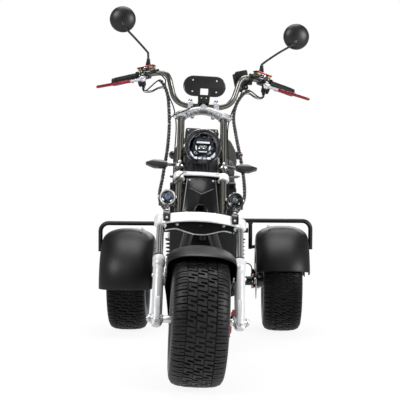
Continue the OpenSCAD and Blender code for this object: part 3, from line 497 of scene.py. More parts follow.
def slab(outline, low, high, edge=1.0, corner=0.0, segments=2):
    """Extrudes an (x, y) outline from low to high; corner rounds its upright edges, edge its rims."""
    shape = bmesh.new()
    face = shape.faces.new([shape.verts.new((x, y, low)) for x, y in outline])
    top = corners_of(bmesh.ops.extrude_face_region(shape, geom=[face]))
    bmesh.ops.translate(shape, verts=top, vec=(0, 0, high - low))
    bmesh.ops.recalc_face_normals(shape, faces=shape.faces)
    if corner:
        upright = [e for e in shape.edges
                   if abs(e.verts[0].co.z - e.verts[1].co.z) > 0.5 * abs(high - low)
                   and e.calc_face_angle() > math.radians(25)]
        bevel(shape, upright, corner, 6)
    return soften(shape, edge, segments)


def brick(low, high, edge=1.5, segments=2):
    """A box between two corners, with rounded edges."""
    low, high = Vector(low), Vector(high)
    shape = bmesh.new()
    place = Matrix.Translation((low + high) / 2) @ Matrix.Diagonal((*(high - low), 1))
    bmesh.ops.create_cube(shape, size=1, matrix=place)
    return soften(shape, edge, segments)


def pipe(points, radius, sides=16):
    """Draws a ring along the points. The radius is one number, or one for each point."""
    points = [Vector(p) for p in points]
    last = len(points) - 1
    radii = radius if isinstance(radius, (list, tuple)) else [radius] * (last + 1)
    ways = [(points[min(i + 1, last)] - points[max(i - 1, 0)]).normalized() for i in range(last + 1)]
    shape = bmesh.new()
    first = Vector((0, 0, 1)).rotation_difference(ways[0]).to_matrix().to_4x4()
    bmesh.ops.create_circle(shape, cap_ends=True, segments=sides, radius=radii[0],
                            matrix=Matrix.Translation(points[0]) @ first)
    ring = shape.edges[:]
    for i in range(1, last + 1):
        grown = bmesh.ops.extrude_edge_only(shape, edges=ring)
        verts = corners_of(grown)
        fresh = set(verts)
        ring = [e for e in grown["geom"] if isinstance(e, bmesh.types.BMEdge) and set(e.verts) <= fresh]
        bend = ways[i - 1].rotation_difference(ways[i]).to_matrix().to_4x4()
        move = Matrix.Translation(points[i]) @ bend @ Matrix.Scale(radii[i] / radii[i - 1], 4)
        bmesh.ops.transform(shape, matrix=move @ Matrix.Translation(-points[i - 1]), verts=verts)
    bmesh.ops.contextual_create(shape, geom=ring)
    return shape


def bolt(r=5.0, h=4.0):
    """A button head with a socket, standing on z = 0."""
    return spun([(0, h * 0.45), (r * 0.48, h * 0.45), (r * 0.52, h), (r * 0.8, h * 0.92), (r, h * 0.45),
                 (r, 0), (0, 0)], 16)


def nut(r=9.0, h=8.0, stud=4.0):
    """A hexagon nut on a washer, with the end of its stud."""
    shape = bmesh.new()
    bmesh.ops.create_cone(shape, cap_ends=True, segments=6, radius1=r, radius2=r, depth=h,
                          matrix=at(0, 0, h / 2 + 1.5))
    soften(shape, r * 0.1, 1)
    bmesh.ops.create_cone(shape, cap_ends=True, segments=24, radius1=r * 1.25, radius2=r * 1.2, depth=1.5,
                          matrix=at(0, 0, 0.75))
    bmesh.ops.create_cone(shape, cap_ends=True, segments=16, radius1=r * 0.55, radius2=r * 0.48, depth=stud,
                          matrix=at(0, 0, h + 1.5 + stud / 2))
    return shape


def coil(r, wire, low, high, turns, sides=8):
    """A spring round Z."""
    count = int(turns * 20)
    line = [(r * math.cos(math.tau * turns * i / count), r * math.sin(math.tau * turns * i / count),
             low + (high - low) * i / count) for i in range(count + 1)]
    return pipe(line, wire, sides)


class Piece:
    """One visible piece: shapes in millimetres, each with its own finish, joined into one mesh."""

    def __init__(self, name, body, place=HERE):
        self.name, self.body, self.place = name, body, place
        self.mesh = bmesh.new()
        self.finishes = []

    def add(self, shape, finish, place=HERE):
        """Joins a closed shape, set at the place; its mesh is used up."""
        bmesh.ops.transform(shape, matrix=place, verts=shape.verts)
        bmesh.ops.recalc_face_normals(shape, faces=shape.faces)
        if finish not in self.finishes:
            self.finishes.append(finish)
        for face in shape.faces:
            face.material_index = self.finishes.index(finish)
        part = bpy.data.meshes.new("shape")
        shape.to_mesh(part)
        shape.free()
        self.mesh.from_mesh(part)
        bpy.data.meshes.remove(part)
        return self

    def both(self, shape, finish, place=HERE):
        """Joins a shape and its mirror image across X."""
        twin = shape.copy()
        self.add(shape, finish, place)
        self.add(twin, finish, sided(-1) @ place)
        return self

    def done(self, *stands_for, sharp=35, slot=None):
        """Makes the object, riding on its body and standing for the named CAD nodes."""
        bmesh.ops.transform(self.mesh, matrix=self.place, verts=self.mesh.verts)
        mesh = bpy.data.meshes.new(self.name)
        self.mesh.to_mesh(mesh)
        self.mesh.free()
        for face in mesh.polygons:
            face.use_smooth = True
        mesh.set_sharp_from_angle(angle=math.radians(sharp))
        for name in self.finishes:
            mesh.materials.append(FINISHES[name])
        piece = bpy.data.objects.new(self.name, mesh)
        bpy.context.scene.collection.objects.link(piece)
        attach(piece, self.body)
        if stands_for:
            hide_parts(*stands_for)
        return piece


def dress(finish, *nodes):
    """Gives carried-over CAD nodes their finish."""
    for name in nodes:
        mesh = NODES[name].data
        mesh.materials.clear()
        mesh.materials.append(FINISHES[finish])
        for face in mesh.polygons:
            face.material_index = 0


# ------------------------------------------------------------------ wheels

RIM_RADIUS = 102
FRONT_TYRE_WIDTH = 194       # the steering is turned, so the node's own box is wider
TREAD_PITCHES = 28
# A tread block with a slot from each side, as shares of its width and height.
BLOCK = [(-0.5, -0.5), (0.5, -0.5), (0.5, 0.07), (-0.17, 0.07), (-0.17, 0.24), (0.5, 0.24),
         (0.5, 0.5), (-0.5, 0.5), (-0.5, -0.07), (0.17, -0.07), (0.17, -0.24), (-0.5, -0.24)]


def tyre_profile(width, radius):
    """(radius, offset) points of half a tyre's outside, from the middle of the tread to the bead."""
    wall = radius - RIM_RADIUS
    shares = ((1.0, 0), (0.995, 0.18), (0.965, 0.34), (0.905, 0.43), (0.8, 0.475), (0.66, 0.495),
              (0.5, 0.5), (0.32, 0.49), (0.14, 0.44), (0.05, 0.385), (0.0, 0.38))
    return [(RIM_RADIUS + wall * up, width * across) for up, across in shares]


def crown(profile, offset):
    """The tyre's radius at an offset from its middle."""
    offset = abs(offset)
    for (r0, x0), (r1, x1) in zip(profile, profile[1:]):
        if offset <= x1:
            return r0 + (r1 - r0) * (offset - x0) / (x1 - x0)
    return profile[6][0]


def tyre_carcass(profile, depth):
    """The tyre without its blocks: the tread's floor, shouldered side walls with fine rings, and beads."""
    half = [(r - depth if x < 0.44 * full_width(profile) else r, x) for r, x in profile[:4]]
    half.append((profile[4][0] - 1.5, profile[4][1] - 0.8))
    wall = flowing([(r, x, 0) for r, x in profile[4:9]], 5)
    for i, point in enumerate(wall[1:]):
        ring = 0.7 if i % 4 == 1 else 0.0
        half.append((point.x, point.y - 1.0 + ring))
    half += profile[9:]
    line = [(r, -x) for r, x in reversed(half)] + half[1:]
    return spun(line + line[:1], 116)


def full_width(profile):
    return 2 * profile[6][1]


def tread_pitch(profile, hand, depth):
    """One pitch of the tread: slotted blocks across the crown and long lugs over the shoulders."""
    radius, width = profile[0][0], full_width(profile)
    pitch = math.tau * radius / TREAD_PITCHES
    shape = bmesh.new()
    share = width / FRONT_TYRE_WIDTH
    faces = []
    for middle, across, shift in ((-33, 30, 0.0), (0, 31, 0.36), (33, 30, 0.72)):
        corners = []
        for u, v in BLOCK:
            x = (middle + across * u) * share
            corners.append(shape.verts.new((x, (v * 0.9 + shift) * pitch - 0.2 * hand * (x - middle * share),
                                            0)))
        faces.append(shape.faces.new(corners))
    for side, base in ((-1, -0.25), (-1, 0.25), (1, -0.25), (1, 0.25)):
        rows = [[shape.verts.new((side * share * x, pitch * (base + 0.205 * edge - 0.07 * (x - 51) / 44), 0))
                 for x in (51, 60, 69, 77, 84, 89, 92.5, 95)] for edge in (-1, -0.12, 0.12, 1)]
        for low, high in ((rows[0], rows[1]), (rows[2], rows[3])):
            for i in range(7):
                faces.append(shape.faces.new((low[i], low[i + 1], high[i + 1], high[i])))
        faces.append(shape.faces.new((rows[1][2], rows[1][3], rows[2][3], rows[2][2])))
        faces.append(shape.faces.new((rows[1][3], rows[1][4], rows[2][4], rows[2][3])))
    top = set(shape.verts)
    floor = corners_of(bmesh.ops.extrude_face_region(shape, geom=faces))
    bmesh.ops.translate(shape, verts=floor, vec=(0, 0, -depth - 1.5))
    rims = [e for e in shape.edges if e.is_manifold and set(e.verts) <= top and e.calc_face_angle() > 0.9]
    bmesh.ops.recalc_face_normals(shape, faces=shape.faces)
    bevel(shape, rims, 0.7, 1)
    for vert in shape.verts:
        x, along, down = vert.co
        reach = crown(profile, x) + down * (1 if abs(x) < 0.46 * width else 0.45)
        angle = along / radius
        vert.co = (x - math.copysign(max(0, -down) * 0.5, x) * (abs(x) > 0.46 * width),
                   -reach * math.cos(angle), reach * math.sin(angle))
    bmesh.ops.spin(shape, geom=shape.verts[:] + shape.edges[:] + shape.faces[:], cent=(0, 0, 0),
                   axis=(1, 0, 0), angle=math.tau * (TREAD_PITCHES - 1) / TREAD_PITCHES,
                   steps=TREAD_PITCHES - 1, use_duplicate=True)
    return shape


def make_tyre(name, body, place, node, hand, finish="rear_tread"):
    radius = 0.5 * size_of("rear_tyre_left").z / MM
    width = size_of(node).x / MM if node != "front_tyre" else FRONT_TYRE_WIDTH
    profile = tyre_profile(width, radius)
    piece = Piece(name, body, place)
    depth = bpy.context.scene.trike_sizes.tread
    piece.add(tyre_carcass(profile, depth), "tyre", ALONG_X)
    piece.add(tread_pitch(profile, hand, depth), finish)
    return piece.done(node, sharp=40)


def make_rim(name, body, place, node, half, web, hub_low, hub_high, hub_r, bore):
    """A cast wheel: a lipped barrel, five pairs of spokes and a stepped hub with its bolts."""
    seat, inner = RIM_RADIUS - 0.4, RIM_RADIUS - 7
    piece = Piece(name, body, place)
    side = [(inner - 2, half - 12), (inner - 1, half - 3), (inner + 3, half), (seat + 5, half),
            (seat + 6, half - 1), (seat + 5, half - 3), (seat, half - 4), (seat, half - 14)]
    drop = [(seat - 4, half - 22), (seat - 4, 10)]
    outer = side + drop
    line = outer + [(r, -z) for r, z in reversed(outer)]
    piece.add(spun(line + line[:1], 72), "rim_paint", ALONG_X)
    for z in (half + 0.05, -half - 0.05):
        ring = [(inner + 4.5, z - 0.3), (inner + 4.5, z + 0.3), (seat + 4.4, z + 0.3), (seat + 4.4, z - 0.3)]
        piece.add(spun(ring + ring[:1], 72), "machined_lip", ALONG_X)
    for i in range(5):
        for lean in (-1, 1):
            spoke = slab([(hub_r - 6, -7 * lean), (hub_r - 6, 4 * lean), (inner, 21 * lean),
                          (inner, 9 * lean)],
                         web, web + 15, 2.5)
            piece.add(spoke, "rim_paint", ALONG_X @ turn("Z", 72 * i + 13 * lean))
        foot = slab([(inner - 14, -24), (inner - 14, 24), (inner + 1, 30), (inner + 1, -30)], web + 2,
                    web + 13, 2)
        piece.add(foot, "rim_paint", ALONG_X @ turn("Z", 72 * i))
    hub = [(bore, hub_low), (hub_r - 3, hub_low), (hub_r, hub_low + 3), (hub_r, web - 4),
           (hub_r + 9, web - 2),
           (hub_r + 9, web + 15), (hub_r + 3, web + 18), (hub_r - 6, web + 19), (hub_r - 6, hub_high - 2),
           (hub_r - 8, hub_high), (bore, hub_high)]
    piece.add(spun(hub + hub[:1], 48, 0.6), "rim_paint", ALONG_X)
    for i in range(5):
        piece.add(bolt(4.5, 4), "steel", ALONG_X @ turn("Z", 72 * i + 36) @ at(hub_r + 3, 0, web + 16.5))
    piece.add(spun([(0, 0), (3.5, 0), (3.5, 16), (4.2, 17), (4.2, 24), (3.4, 25), (0, 25)], 12), "rubber",
              at(web + 13, 0, -inner + 6) @ turn("Y", 62))
    return piece.done(node)


def make_disc(name, body, place, node, x):
    """A wavy drilled brake disc on its carrier, with button bolts."""
    radius, thick = 84, 4
    piece = Piece(name, body, place)
    wave = []
    for i in range(180):
        wave.append(radius - 1.2 + 1.2 * math.cos(math.tau * i / 18))
    outline = [(r * math.cos(math.tau * i / 180), r * math.sin(math.tau * i / 180)) for i,
               r in enumerate(wave)]
    shape = slab(outline, 0, thick, 0)
    caps = [f for f in shape.faces if abs(f.normal.z) > 0.9]
    bmesh.ops.inset_region(shape, faces=caps, thickness=27, use_even_offset=True)
    cut = [f for f in shape.faces if abs(f.normal.z) > 0.9 and f.calc_center_median().length < 12]
    bmesh.ops.delete(shape, geom=cut, context="FACES")
    loops = [e for e in shape.edges if e.is_boundary]
    bmesh.ops.bridge_loops(shape, edges=loops)
    piece.add(shape, "disc_steel", at(x, 0, 0) @ ALONG_X)
    for i in range(6):
        arm = slab([(20, -9), (20, 9), (radius - 22, 14), (radius - 22, 4)], 0.4, thick - 0.4, 0.6)
        piece.add(arm, "carrier", at(x, 0, 0) @ ALONG_X @ turn("Z", 60 * i))
        piece.add(bolt(4.5, 2.5), "steel", at(x + thick, 0, 0) @ ALONG_X @ turn("Z", 60 * i + 8)
                  @ at(58, 0, -0.4))
        # The drilled holes are near-black plugs, not cut through: painted shade.
        for r, lean in ((radius - 9, 12), (radius - 15, 30), (radius - 21, 48)):
            hole = spun([(0, -0.15), (3.2, -0.15), (3.2, thick + 0.15), (0, thick + 0.15)], 10)
            piece.add(hole, "hole_dark", at(x, 0, 0) @ ALONG_X @ turn("Z", 60 * i + lean) @ at(r, 0, 0))
    ring = [(17, 0.3), (28, 0.3), (28, thick - 0.3), (17, thick - 0.3)]
    piece.add(spun(ring + ring[:1], 40), "carrier", at(x, 0, 0) @ ALONG_X)
    return piece.done(node)


class TRIKE_OT_wheels(Operator):
    """Build the tyres, rims and brake discs of the three wheels"""
    bl_idname = "trike.wheels"
    bl_label = "Wheels"

    def execute(self, context):
        make_tyre("tyre_front", "front_wheel", FORK, "front_tyre", 1, "tread")
        half = 0.38 * FRONT_TYRE_WIDTH + 3
        make_rim("wheel_front", "front_wheel", FORK, "front_rim", half, half - 34, -62, 100, 26, 8.1)
        make_disc("disc_front", "front_wheel", FORK, "front_disc", 100.1)
        for side, name in ((1, "left"), (-1, "right")):
            body = "rear_wheel_" + name
            place = rear_place(side)
            width = size_of("rear_tyre_" + name).x / MM
            make_tyre("tyre_rear_" + name, body, place, "rear_tyre_" + name, side)
            half = 0.38 * width + 3
            disc_x = -width / 2 - 30
            make_rim("wheel_rear_" + name, body, place, "rear_rim_" + name, half, half - 34, disc_x + 4.1,
                     half - 12, 30, 14.1)
            make_disc("disc_rear_" + name, body, place, "rear_disc_" + name, disc_x)
        return {"FINISHED"}


# ------------------------------------------------------------------ fork

LEG_X, TUBE_X = 144, 82
LOWER, MIDDLE, TOP = (374, 412), (582, 606), (870, 890)
STEM_Y = 33
SLIDER_TOP = 249


def yoke_front(end_x, end_r, bulge, inset=0):
    """The bowed front edge of a yoke, from the rider's right to left."""
    line = []
    for i in range(17):
        t = -1 + i / 8
        line.append((t * (end_x - inset * 0.4), inset - end_r * 0.9 - (bulge - end_r * 0.9) * (1 - t * t)))
    return line


class TRIKE_OT_yokes(Operator):
    """Build the three cast yokes of the fork"""
    bl_idname = "trike.yokes"
    bl_label = "Yokes"

    def execute(self, context):
        self.lower()
        self.middle()
        self.top()
        return {"FINISHED"}

    def lower(self):
        low, high = LOWER
        piece = Piece("yoke_lower", "fork", FORK)
        back = [(LEG_X, 14), (92, 30), (32, 62), (-32, 62), (-92, 30), (-LEG_X, 14)]
        piece.add(slab(yoke_front(LEG_X, 23, 50, 2) + back, high - 9, high - 1, 2), "silver_cast")
        face = yoke_front(LEG_X, 23, 50) + yoke_front(LEG_X, 23, 50, 8)[::-1]
        piece.add(slab(face, low, high, 2.5, segments=3), "silver_cast")
        # A near-black sheet in the hollow under the yoke: painted shade.
        inner = [(x * 0.97, y + 0.5) for x, y in yoke_front(LEG_X - 14, 23, 48, 5)]
        rear = [(125, 30), (112, 23), (98, 18), (86, 17), (70, 23), (46, 37), (22, 47), (0, 49)]
        rear += [(-x, y) for x, y in reversed(rear[:-1])]
        piece.add(slab(inner + rear, low + 3, low + 7, 0.5), "recess_black")
        rim = flowing([(x, y + 1, low + 4) for x, y in rear], 4)
        piece.add(pipe(rim, 3.1, 10), "silver_cast")
        boss = [(0, low), (14.2, low), (19, low + 0.5), (23, low + 4), (23, high - 5), (20, high),
                (11, high + 1.5),
                (10, high + 4), (0, high + 4.5)]
        piece.both(spun(boss, 40), "silver_cast", at(LEG_X, 0, 0))
        tube = [(13.6, low + 8), (19, low + 8), (22, low + 11), (22, high - 1), (19, high + 2),
                (13.6, high + 2)]
        piece.both(spun(tube + tube[:1], 40), "silver_cast", at(TUBE_X, 0, 0))
        # The ribs in the hollow are near-black too: painted shade.
        for x in (-58, -30, 30, 58):
            rib = brick((x - 2.5, -40 + abs(x) * 0.2, low + 8), (x + 2.5, 44 - abs(x) * 0.3, high - 9), 1)
            piece.add(rib, "recess_black")
        collar = [(16.2, low + 8), (24, low + 8), (26, low + 10), (26, high + 2), (16.2, high + 2)]
        piece.add(spun(collar + collar[:1], 40), "silver_cast", at(0, STEM_Y, 0))
        piece.add(spun([(0, high), (15.9, high), (15.9, MIDDLE[0] + 24), (0, MIDDLE[0] + 24)], 40), "steel",
                  at(0, STEM_Y, 0))
        for x, y in ((-84, -14), (0, -16), (84, -18)):
            piece.add(bolt(5.5, 4), "steel" if x else "frame_paint", at(x, y, low + 3.2) @ turn("X", 180))
        for side in (-1, 1):
            piece.add(bolt(6, 5), "steel", at(side * (LEG_X + 8), 21, low + 14) @ turn("X", -90))
            piece.add(bolt(6, 5), "steel", at(side * (LEG_X + 8), 21, high - 12) @ turn("X", -90))
        piece.done("lower_yoke", slot="cast_aluminium")

    def middle(self):
        low, high = MIDDLE
        piece = Piece("yoke_middle", "fork", FORK)
        back = [(TUBE_X + 8, 18), (52, 38), (32, 60), (-32, 60), (-52, 38), (-TUBE_X - 8, 18)]
        piece.add(slab(yoke_front(TUBE_X + 4, 22, 24) + back, low + 8, high, 3, segments=3), "silver_cast")
        # A near-black sheet under the yoke: painted shade.
        under = [(x * 0.93, y + 5) for x, y in yoke_front(TUBE_X, 22, 24)] + [(x * 0.93, y - 4) for x,
                y in back]
        piece.add(slab(under, low + 2, low + 8, 1), "recess_black")
        boss = [(13.6, low), (20, low), (22, low + 3), (22, high - 4), (20, high + 1), (13.6, high + 1)]
        piece.both(spun(boss + boss[:1], 40), "silver_cast", at(TUBE_X, 0, 0))
        lug = brick((TUBE_X - 8, 17, low + 3), (TUBE_X + 12, 33, high - 3), 2.5)
        piece.both(lug, "silver_cast")
        piece.both(bolt(5.5, 5), "steel", at(TUBE_X + 12, 26, low + 12) @ turn("Y", 90))
        piece.both(bolt(4, 3), "steel", at(TUBE_X - 22, -26, high - 8) @ turn("X", 90))
        ring = [(16.2, low + 1), (26, low + 1), (28, low + 4), (28, high + 2), (25, high + 4),
                (16.2, high + 4)]
        piece.add(spun(ring + ring[:1], 40), "silver_cast", at(0, STEM_Y, 0))
        nut_top = nut(19, 9, 3)
        piece.add(nut_top, "steel", at(0, STEM_Y, high + 1))
        piece.done("mid_yoke", slot="cast_aluminium")

    def top(self):
        low, high = TOP
        piece = Piece("yoke_top", "fork", FORK)
        back = [(TUBE_X + 6, 18)] + [(x, 15 - 27 * (1 - (x / 70) ** 2)) for x in range(66, -67, -12)]
        back += [(-TUBE_X - 6, 18)]
        piece.add(slab(yoke_front(TUBE_X + 4, 22, 52, 1) + back, high - 8, high, 2.5), "silver_cast")
        for i in range(12):
            x = -68 + 136 * i / 11
            rise = 11 * (1 - (x / 74) ** 2)
            deep = -50 + abs(x) * 0.36 + 0.0028 * x * x
            wave = [(0, low - 1 + rise), (5, low - 1 + rise), (7.4, low + 1 + rise), (8.2, high - 5),
                    (7, high + 1),
                    (0, high + 1)]
            piece.add(spun(wave, 20), "bright_cast", at(x, deep + 6, 0))
        for x in (-56, -38, -20, 20, 38, 56):
            front, rise = -46 + abs(x) * 0.38, 6 * (1 - (x / 70) ** 2)
            end = 12 - 27 * (1 - (x / 70) ** 2)
            piece.add(brick((x - 3, front, low + 3 + rise), (x + 3, end, high - 7), 1.2), "bright_cast")
        rear = [(x, 15 - 27 * (1 - (x / 70) ** 2)) for x in range(66, -67, -12)]
        bead = [(x, y - 3, low + 5 + 7 * (1 - (x / 70) ** 2)) for x, y in rear]
        piece.add(pipe(flowing(bead, 3), 4.2, 12), "bright_cast")
        # The pocket's floor is a darker grey than the casting round it: painted shade.
        floor = [(x * 0.9, y + 8) for x, y in yoke_front(TUBE_X - 12, 22, 50)] + [(x * 0.9, y - 3) for x,
                y in rear]
        piece.add(slab(floor, high - 9.6, high - 8.1, 0.3), "recess_grey")
        for x, r in ((-40, 8), (40, 8)):
            cup = [(0, low + 2), (r - 2, low + 2), (r, low + 4), (r, high - 8), (0, high - 8)]
            piece.add(spun(cup, 28), "bright_cast", at(x, -12 + abs(x) * 0.3, 0))
        boss = [(13.6, low - 3), (19, low - 3), (22, low), (22, high - 3), (19, high + 1), (16, high + 1),
                (15, high + 5), (0, high + 6)]
        piece.both(spun([(0, high - 9), (13.6, high - 9)] + boss, 40), "bright_cast", at(TUBE_X, 0, 0))
        piece.both(bolt(6, 4), "steel", at(TUBE_X, 0, high + 5))
        dome = [(0, high + 19), (6, high + 18), (11, high + 14.5), (14.5, high + 8), (15.5, high),
                (17, high - 2),
                (17, high - 6), (0, high - 6)]
        piece.add(spun(dome, 36), "bright_cast", at(0, -38, 0))
        for side in (-1, 1):
            ear = slab([(TUBE_X + 14, -12), (TUBE_X + 30, -8), (TUBE_X + 32, 6), (TUBE_X + 16, 14)], low + 1,
                       high - 2, 2.5)
            piece.add(ear, "bright_cast", sided(side))
            piece.add(bolt(5, 5), "steel", sided(side) @ at(TUBE_X + 24, -1, low + 1) @ turn("X", 180))
            piece.add(bolt(5.5, 6), "steel", at(side * (TUBE_X + 20), -11, low + 9) @ turn("X", 90))
        piece.done("top_yoke", slot="cast_aluminium")


class TRIKE_OT_fork_legs(Operator):
    """Build the sliders, the axle with its nuts, the cover between the tubes and the wiring box"""
    bl_idname = "trike.fork_legs"
    bl_label = "Fork legs"

    def execute(self, context):
        self.sliders()
        self.axle()
        self.cover()
        self.box()
        return {"FINISHED"}

    def sliders(self):
        piece = Piece("fork_legs", "fork", FORK)
        t = SLIDER_TOP
        leg = [(0, -28), (10, -28), (11, -26), (15, -26), (18, -23), (19, -19), (19, t - 62), (19.6, t - 58),
               (18.6, t - 54), (18.6, t - 46), (20.5, t - 42), (22.5, t - 38), (22.5, t - 27),
               (21.4, t - 25.5),
               (22.5, t - 24), (22.5, t - 8), (20, t - 5), (20, t - 3), (17, t - 1), (13.8, t)]
        piece.both(spun(leg + [(13.8, t - 10), (0, t - 10)], 48), "slider_paint", at(LEG_X, 0, 0))
        seal = [(13.7, t - 2), (16.4, t - 2), (16.4, t + 3), (14.8, t + 5.5), (13.7, t + 5.5)]
        piece.both(spun(seal + seal[:1], 40), "rubber", at(LEG_X, 0, 0))
        lug = [(0, -21), (15, -21), (17, -18), (17, 18), (15, 21), (0, 21)]
        piece.both(spun(lug, 40), "slider_paint", at(LEG_X, 0, 0) @ ALONG_X)
        pinch = slab([(-12, -30), (12, -30), (15, -8), (-15, -8)], -7, 7, 2.5)
        piece.both(pinch, "slider_paint", at(LEG_X, -9, 0) @ turn("X", 90))
        piece.both(bolt(4.5, 3), "slider_paint", at(LEG_X + 4, -20, -18) @ turn("X", 90))
        piece.both(brick((LEG_X - 10, -21, -14), (LEG_X + 7, -14, 78), 2), "slider_paint")
        stud = [(0, -25), (7, -25), (7, -8), (10, -7), (10, -2), (8, -1), (0, -1)]
        piece.both(spun(stud, 24), "slider_paint", at(LEG_X, 0, 171) @ ALONG_X)
        piece.both(bolt(6.5, 5), "steel", at(LEG_X + 18, 0, 171) @ ALONG_X)
        ear = slab([(-9, -14), (9, -14), (7, 14), (-7, 14)], 0, 6, 1.5)
        piece.both(ear, "slider_paint", at(LEG_X - 24, 0, 171) @ ALONG_X)
        piece.done("fork_sliders", slot="cast_aluminium")

    def axle(self):
        piece = Piece("front_axle_set", "fork", FORK)
        inner, outer = LEG_X - 21.3, LEG_X + 21.3
        piece.add(spun([(0, -outer - 13), (7, -outer - 13), (8, -outer - 11), (8, outer + 11),
                        (7, outer + 13),
                        (0, outer + 13)], 32), "steel", ALONG_X)
        piece.both(nut(14, 8, 2), "steel", at(outer, 0, 0) @ ALONG_X)
        for low, high in ((-inner, -62.5), (105, inner)):
            sleeve = [(8.2, low), (12, low), (13, low + 1.5), (13, high - 1.5), (12, high), (8.2, high)]
            piece.add(spun(sleeve + sleeve[:1], 36), "steel", ALONG_X)
        piece.done("front_axle")

    def cover(self):
        low, high = LOWER[1] + 0.5, MIDDLE[0] - 0.5
        shape = bmesh.new()
        mark = {name: shape.verts.new(spot) for name, spot in dict(
            a=(-50, -15, high), b=(0, -22, high), c=(50, -15, high), d=(-55, -16, 532), e=(0, -31, 500),
            f=(55, -16, 532), g=(-64, -13, low), h=(-27, -17, low), i=(-24, -20, 440), j=(-12, -23, 457),
            k=(12, -23, 457), l=(24, -20, 440), m=(27, -17, low), n=(64, -13, low),
            o=(-22, -26, 516), p=(22, -26, 516)).items()}
        for names in ("adob", "oeb", "bepc", "pfc", "dghi", "dijo", "oje", "jke", "kpe", "klfp", "lmnf"):
            shape.faces.new([mark[name] for name in names])
        bmesh.ops.recalc_face_normals(shape, faces=shape.faces)
        bmesh.ops.solidify(shape, geom=shape.faces[:], thickness=3)
        soften(shape, 0.9, 2, 12)
        piece = Piece("fork_cover_panel", "fork", FORK)
        piece.add(shape, "panel_black")
        # Thin chrome rods beside the cover stand in for the bright edge lines between the cover and the
        # tubes: painted highlights.
        for side in (-1, 1):
            trim = [(side * 53, -15, high - 3), (side * 58, -15.5, 520), (side * 67, -14, low + 3)]
            piece.add(pipe(trim, 1.5, 8), "lamp_chrome")
        # A grey line along the crease of the cover: a painted highlight.
        line = flowing([(-44, -18.6, 534), (-22, -27.6, 516), (0, -33, 500), (22, -27.6, 516),
                        (44, -18.6, 534)], 1)
        piece.add(pipe(line, 1.3, 8), "panel_edge")
        for x, z in ((-44, high - 12), (44, high - 12), (-52, low + 14), (52, low + 14)):
            piece.add(bolt(4.5, 3), "steel", at(x, -16.5, z) @ FORWARD)
        rim = [(-26, -19, low), (-24.5, -21.5, 438), (-12, -24.5, 456.5), (0, -25, 458), (12, -24.5, 456.5),
               (24.5, -21.5, 438), (26, -19, low)]
        piece.add(pipe(flowing(rim, 3), 1.6, 8), "panel_black")
        piece.done("fork_cover")

    def box(self):
        low, high = MIDDLE[1] + 0.5, 830
        wide = TUBE_X - 13.5 - 6
        piece = Piece("wiring_box_shell", "fork", FORK)
        shell = slab([(-wide, 8), (wide, 8), (wide, 60), (-wide, 60)], low, high, 3, corner=7)
        piece.add(shell, "box_plastic")
        piece.add(brick((-wide - 2, 5, high - 26), (wide + 2, 62, high - 18), 1.5), "box_plastic")
        for i in range(6):
            piece.add(brick((-36 + i * 13, 4.5, low + 12), (-30 + i * 13, 8.5, low + 66), 1.2), "box_plastic")
        for x in (-wide + 9, wide - 9):
            for z in (low + 10, high - 12):
                piece.add(bolt(4, 2.5), "steel", at(x, 8, z) @ FORWARD)
        piece.done("wiring_box")


# ------------------------------------------------------------------ fenders

FENDER_THICK = 4
REAR_FENDER_RADIUS = 252


def fender_shell(width, radius, skirt, round_w, round_h, start, end, swept=0, tail=0):
    """A rolled fender about the X axis: its section is spun from one lip angle to the other.

    swept is how many degrees the sides of the front lip lie behind its middle, and tail is how many degrees
    the rear end takes to narrow.
    """
    half = width / 2 - FENDER_THICK / 2
    top = radius - FENDER_THICK / 2
    section = [(half, top + FENDER_THICK / 2 - skirt), (half, top - round_h - 18)]
    section += [(half - round_w + round_w * math.cos(a), top - round_h + round_h * math.sin(a))
                for a in (math.pi / 2 * i / 9 for i in range(10))]
    section += [(-x, r) for x, r in reversed(section)]
    shape = bmesh.new()
    verts = [shape.verts.new((x, -r * math.cos(math.radians(start)), r * math.sin(math.radians(start))))
             for x, r in section]
    edges = [shape.edges.new(pair) for pair in zip(verts, verts[1:])]
    bmesh.ops.spin(shape, geom=verts + edges, cent=(0, 0, 0), axis=(-1, 0, 0),
                   angle=math.radians(end - start), steps=int((end - start) / 3.2))
    reach = 45
    for vert in shape.verts if swept else ():
        x, y, z = vert.co
        angle = math.degrees(math.atan2(z, -y)) % 360
        back = swept * min(1, abs(x) / half) ** 2 * max(0, 1 - (angle - start) / reach)
        vert.co = turn("X", -back) @ vert.co
    for vert in shape.verts if tail else ():
        x, y, z = vert.co
        angle = math.degrees(math.atan2(z, -y)) % 360
        far = min(1, max(0, (angle - end + tail) / tail))
        reach = math.hypot(y, z)
        lifted = reach + max(0, radius - 16 - reach) * 0.7 * min(1, far * 1.6)
        vert.co = Vector((x * (1 - 0.35 * max(0, far - 0.3)), y * lifted / reach, z * lifted / reach))
    bmesh.ops.recalc_face_normals(shape, faces=shape.faces)
    rim = [e for e in shape.edges if e.is_boundary]
    for vert in corners_of(bmesh.ops.extrude_edge_only(shape, edges=rim)):
        away = Vector((0, vert.co.y, vert.co.z)).normalized()
        vert.co -= away * 3.2
        vert.co.x -= math.copysign(1.2, vert.co.x)
    bmesh.ops.recalc_face_normals(shape, faces=shape.faces)
    bmesh.ops.solidify(shape, geom=shape.faces[:], thickness=FENDER_THICK - 0.6)
    return soften(shape, 0.8, 2, 40)


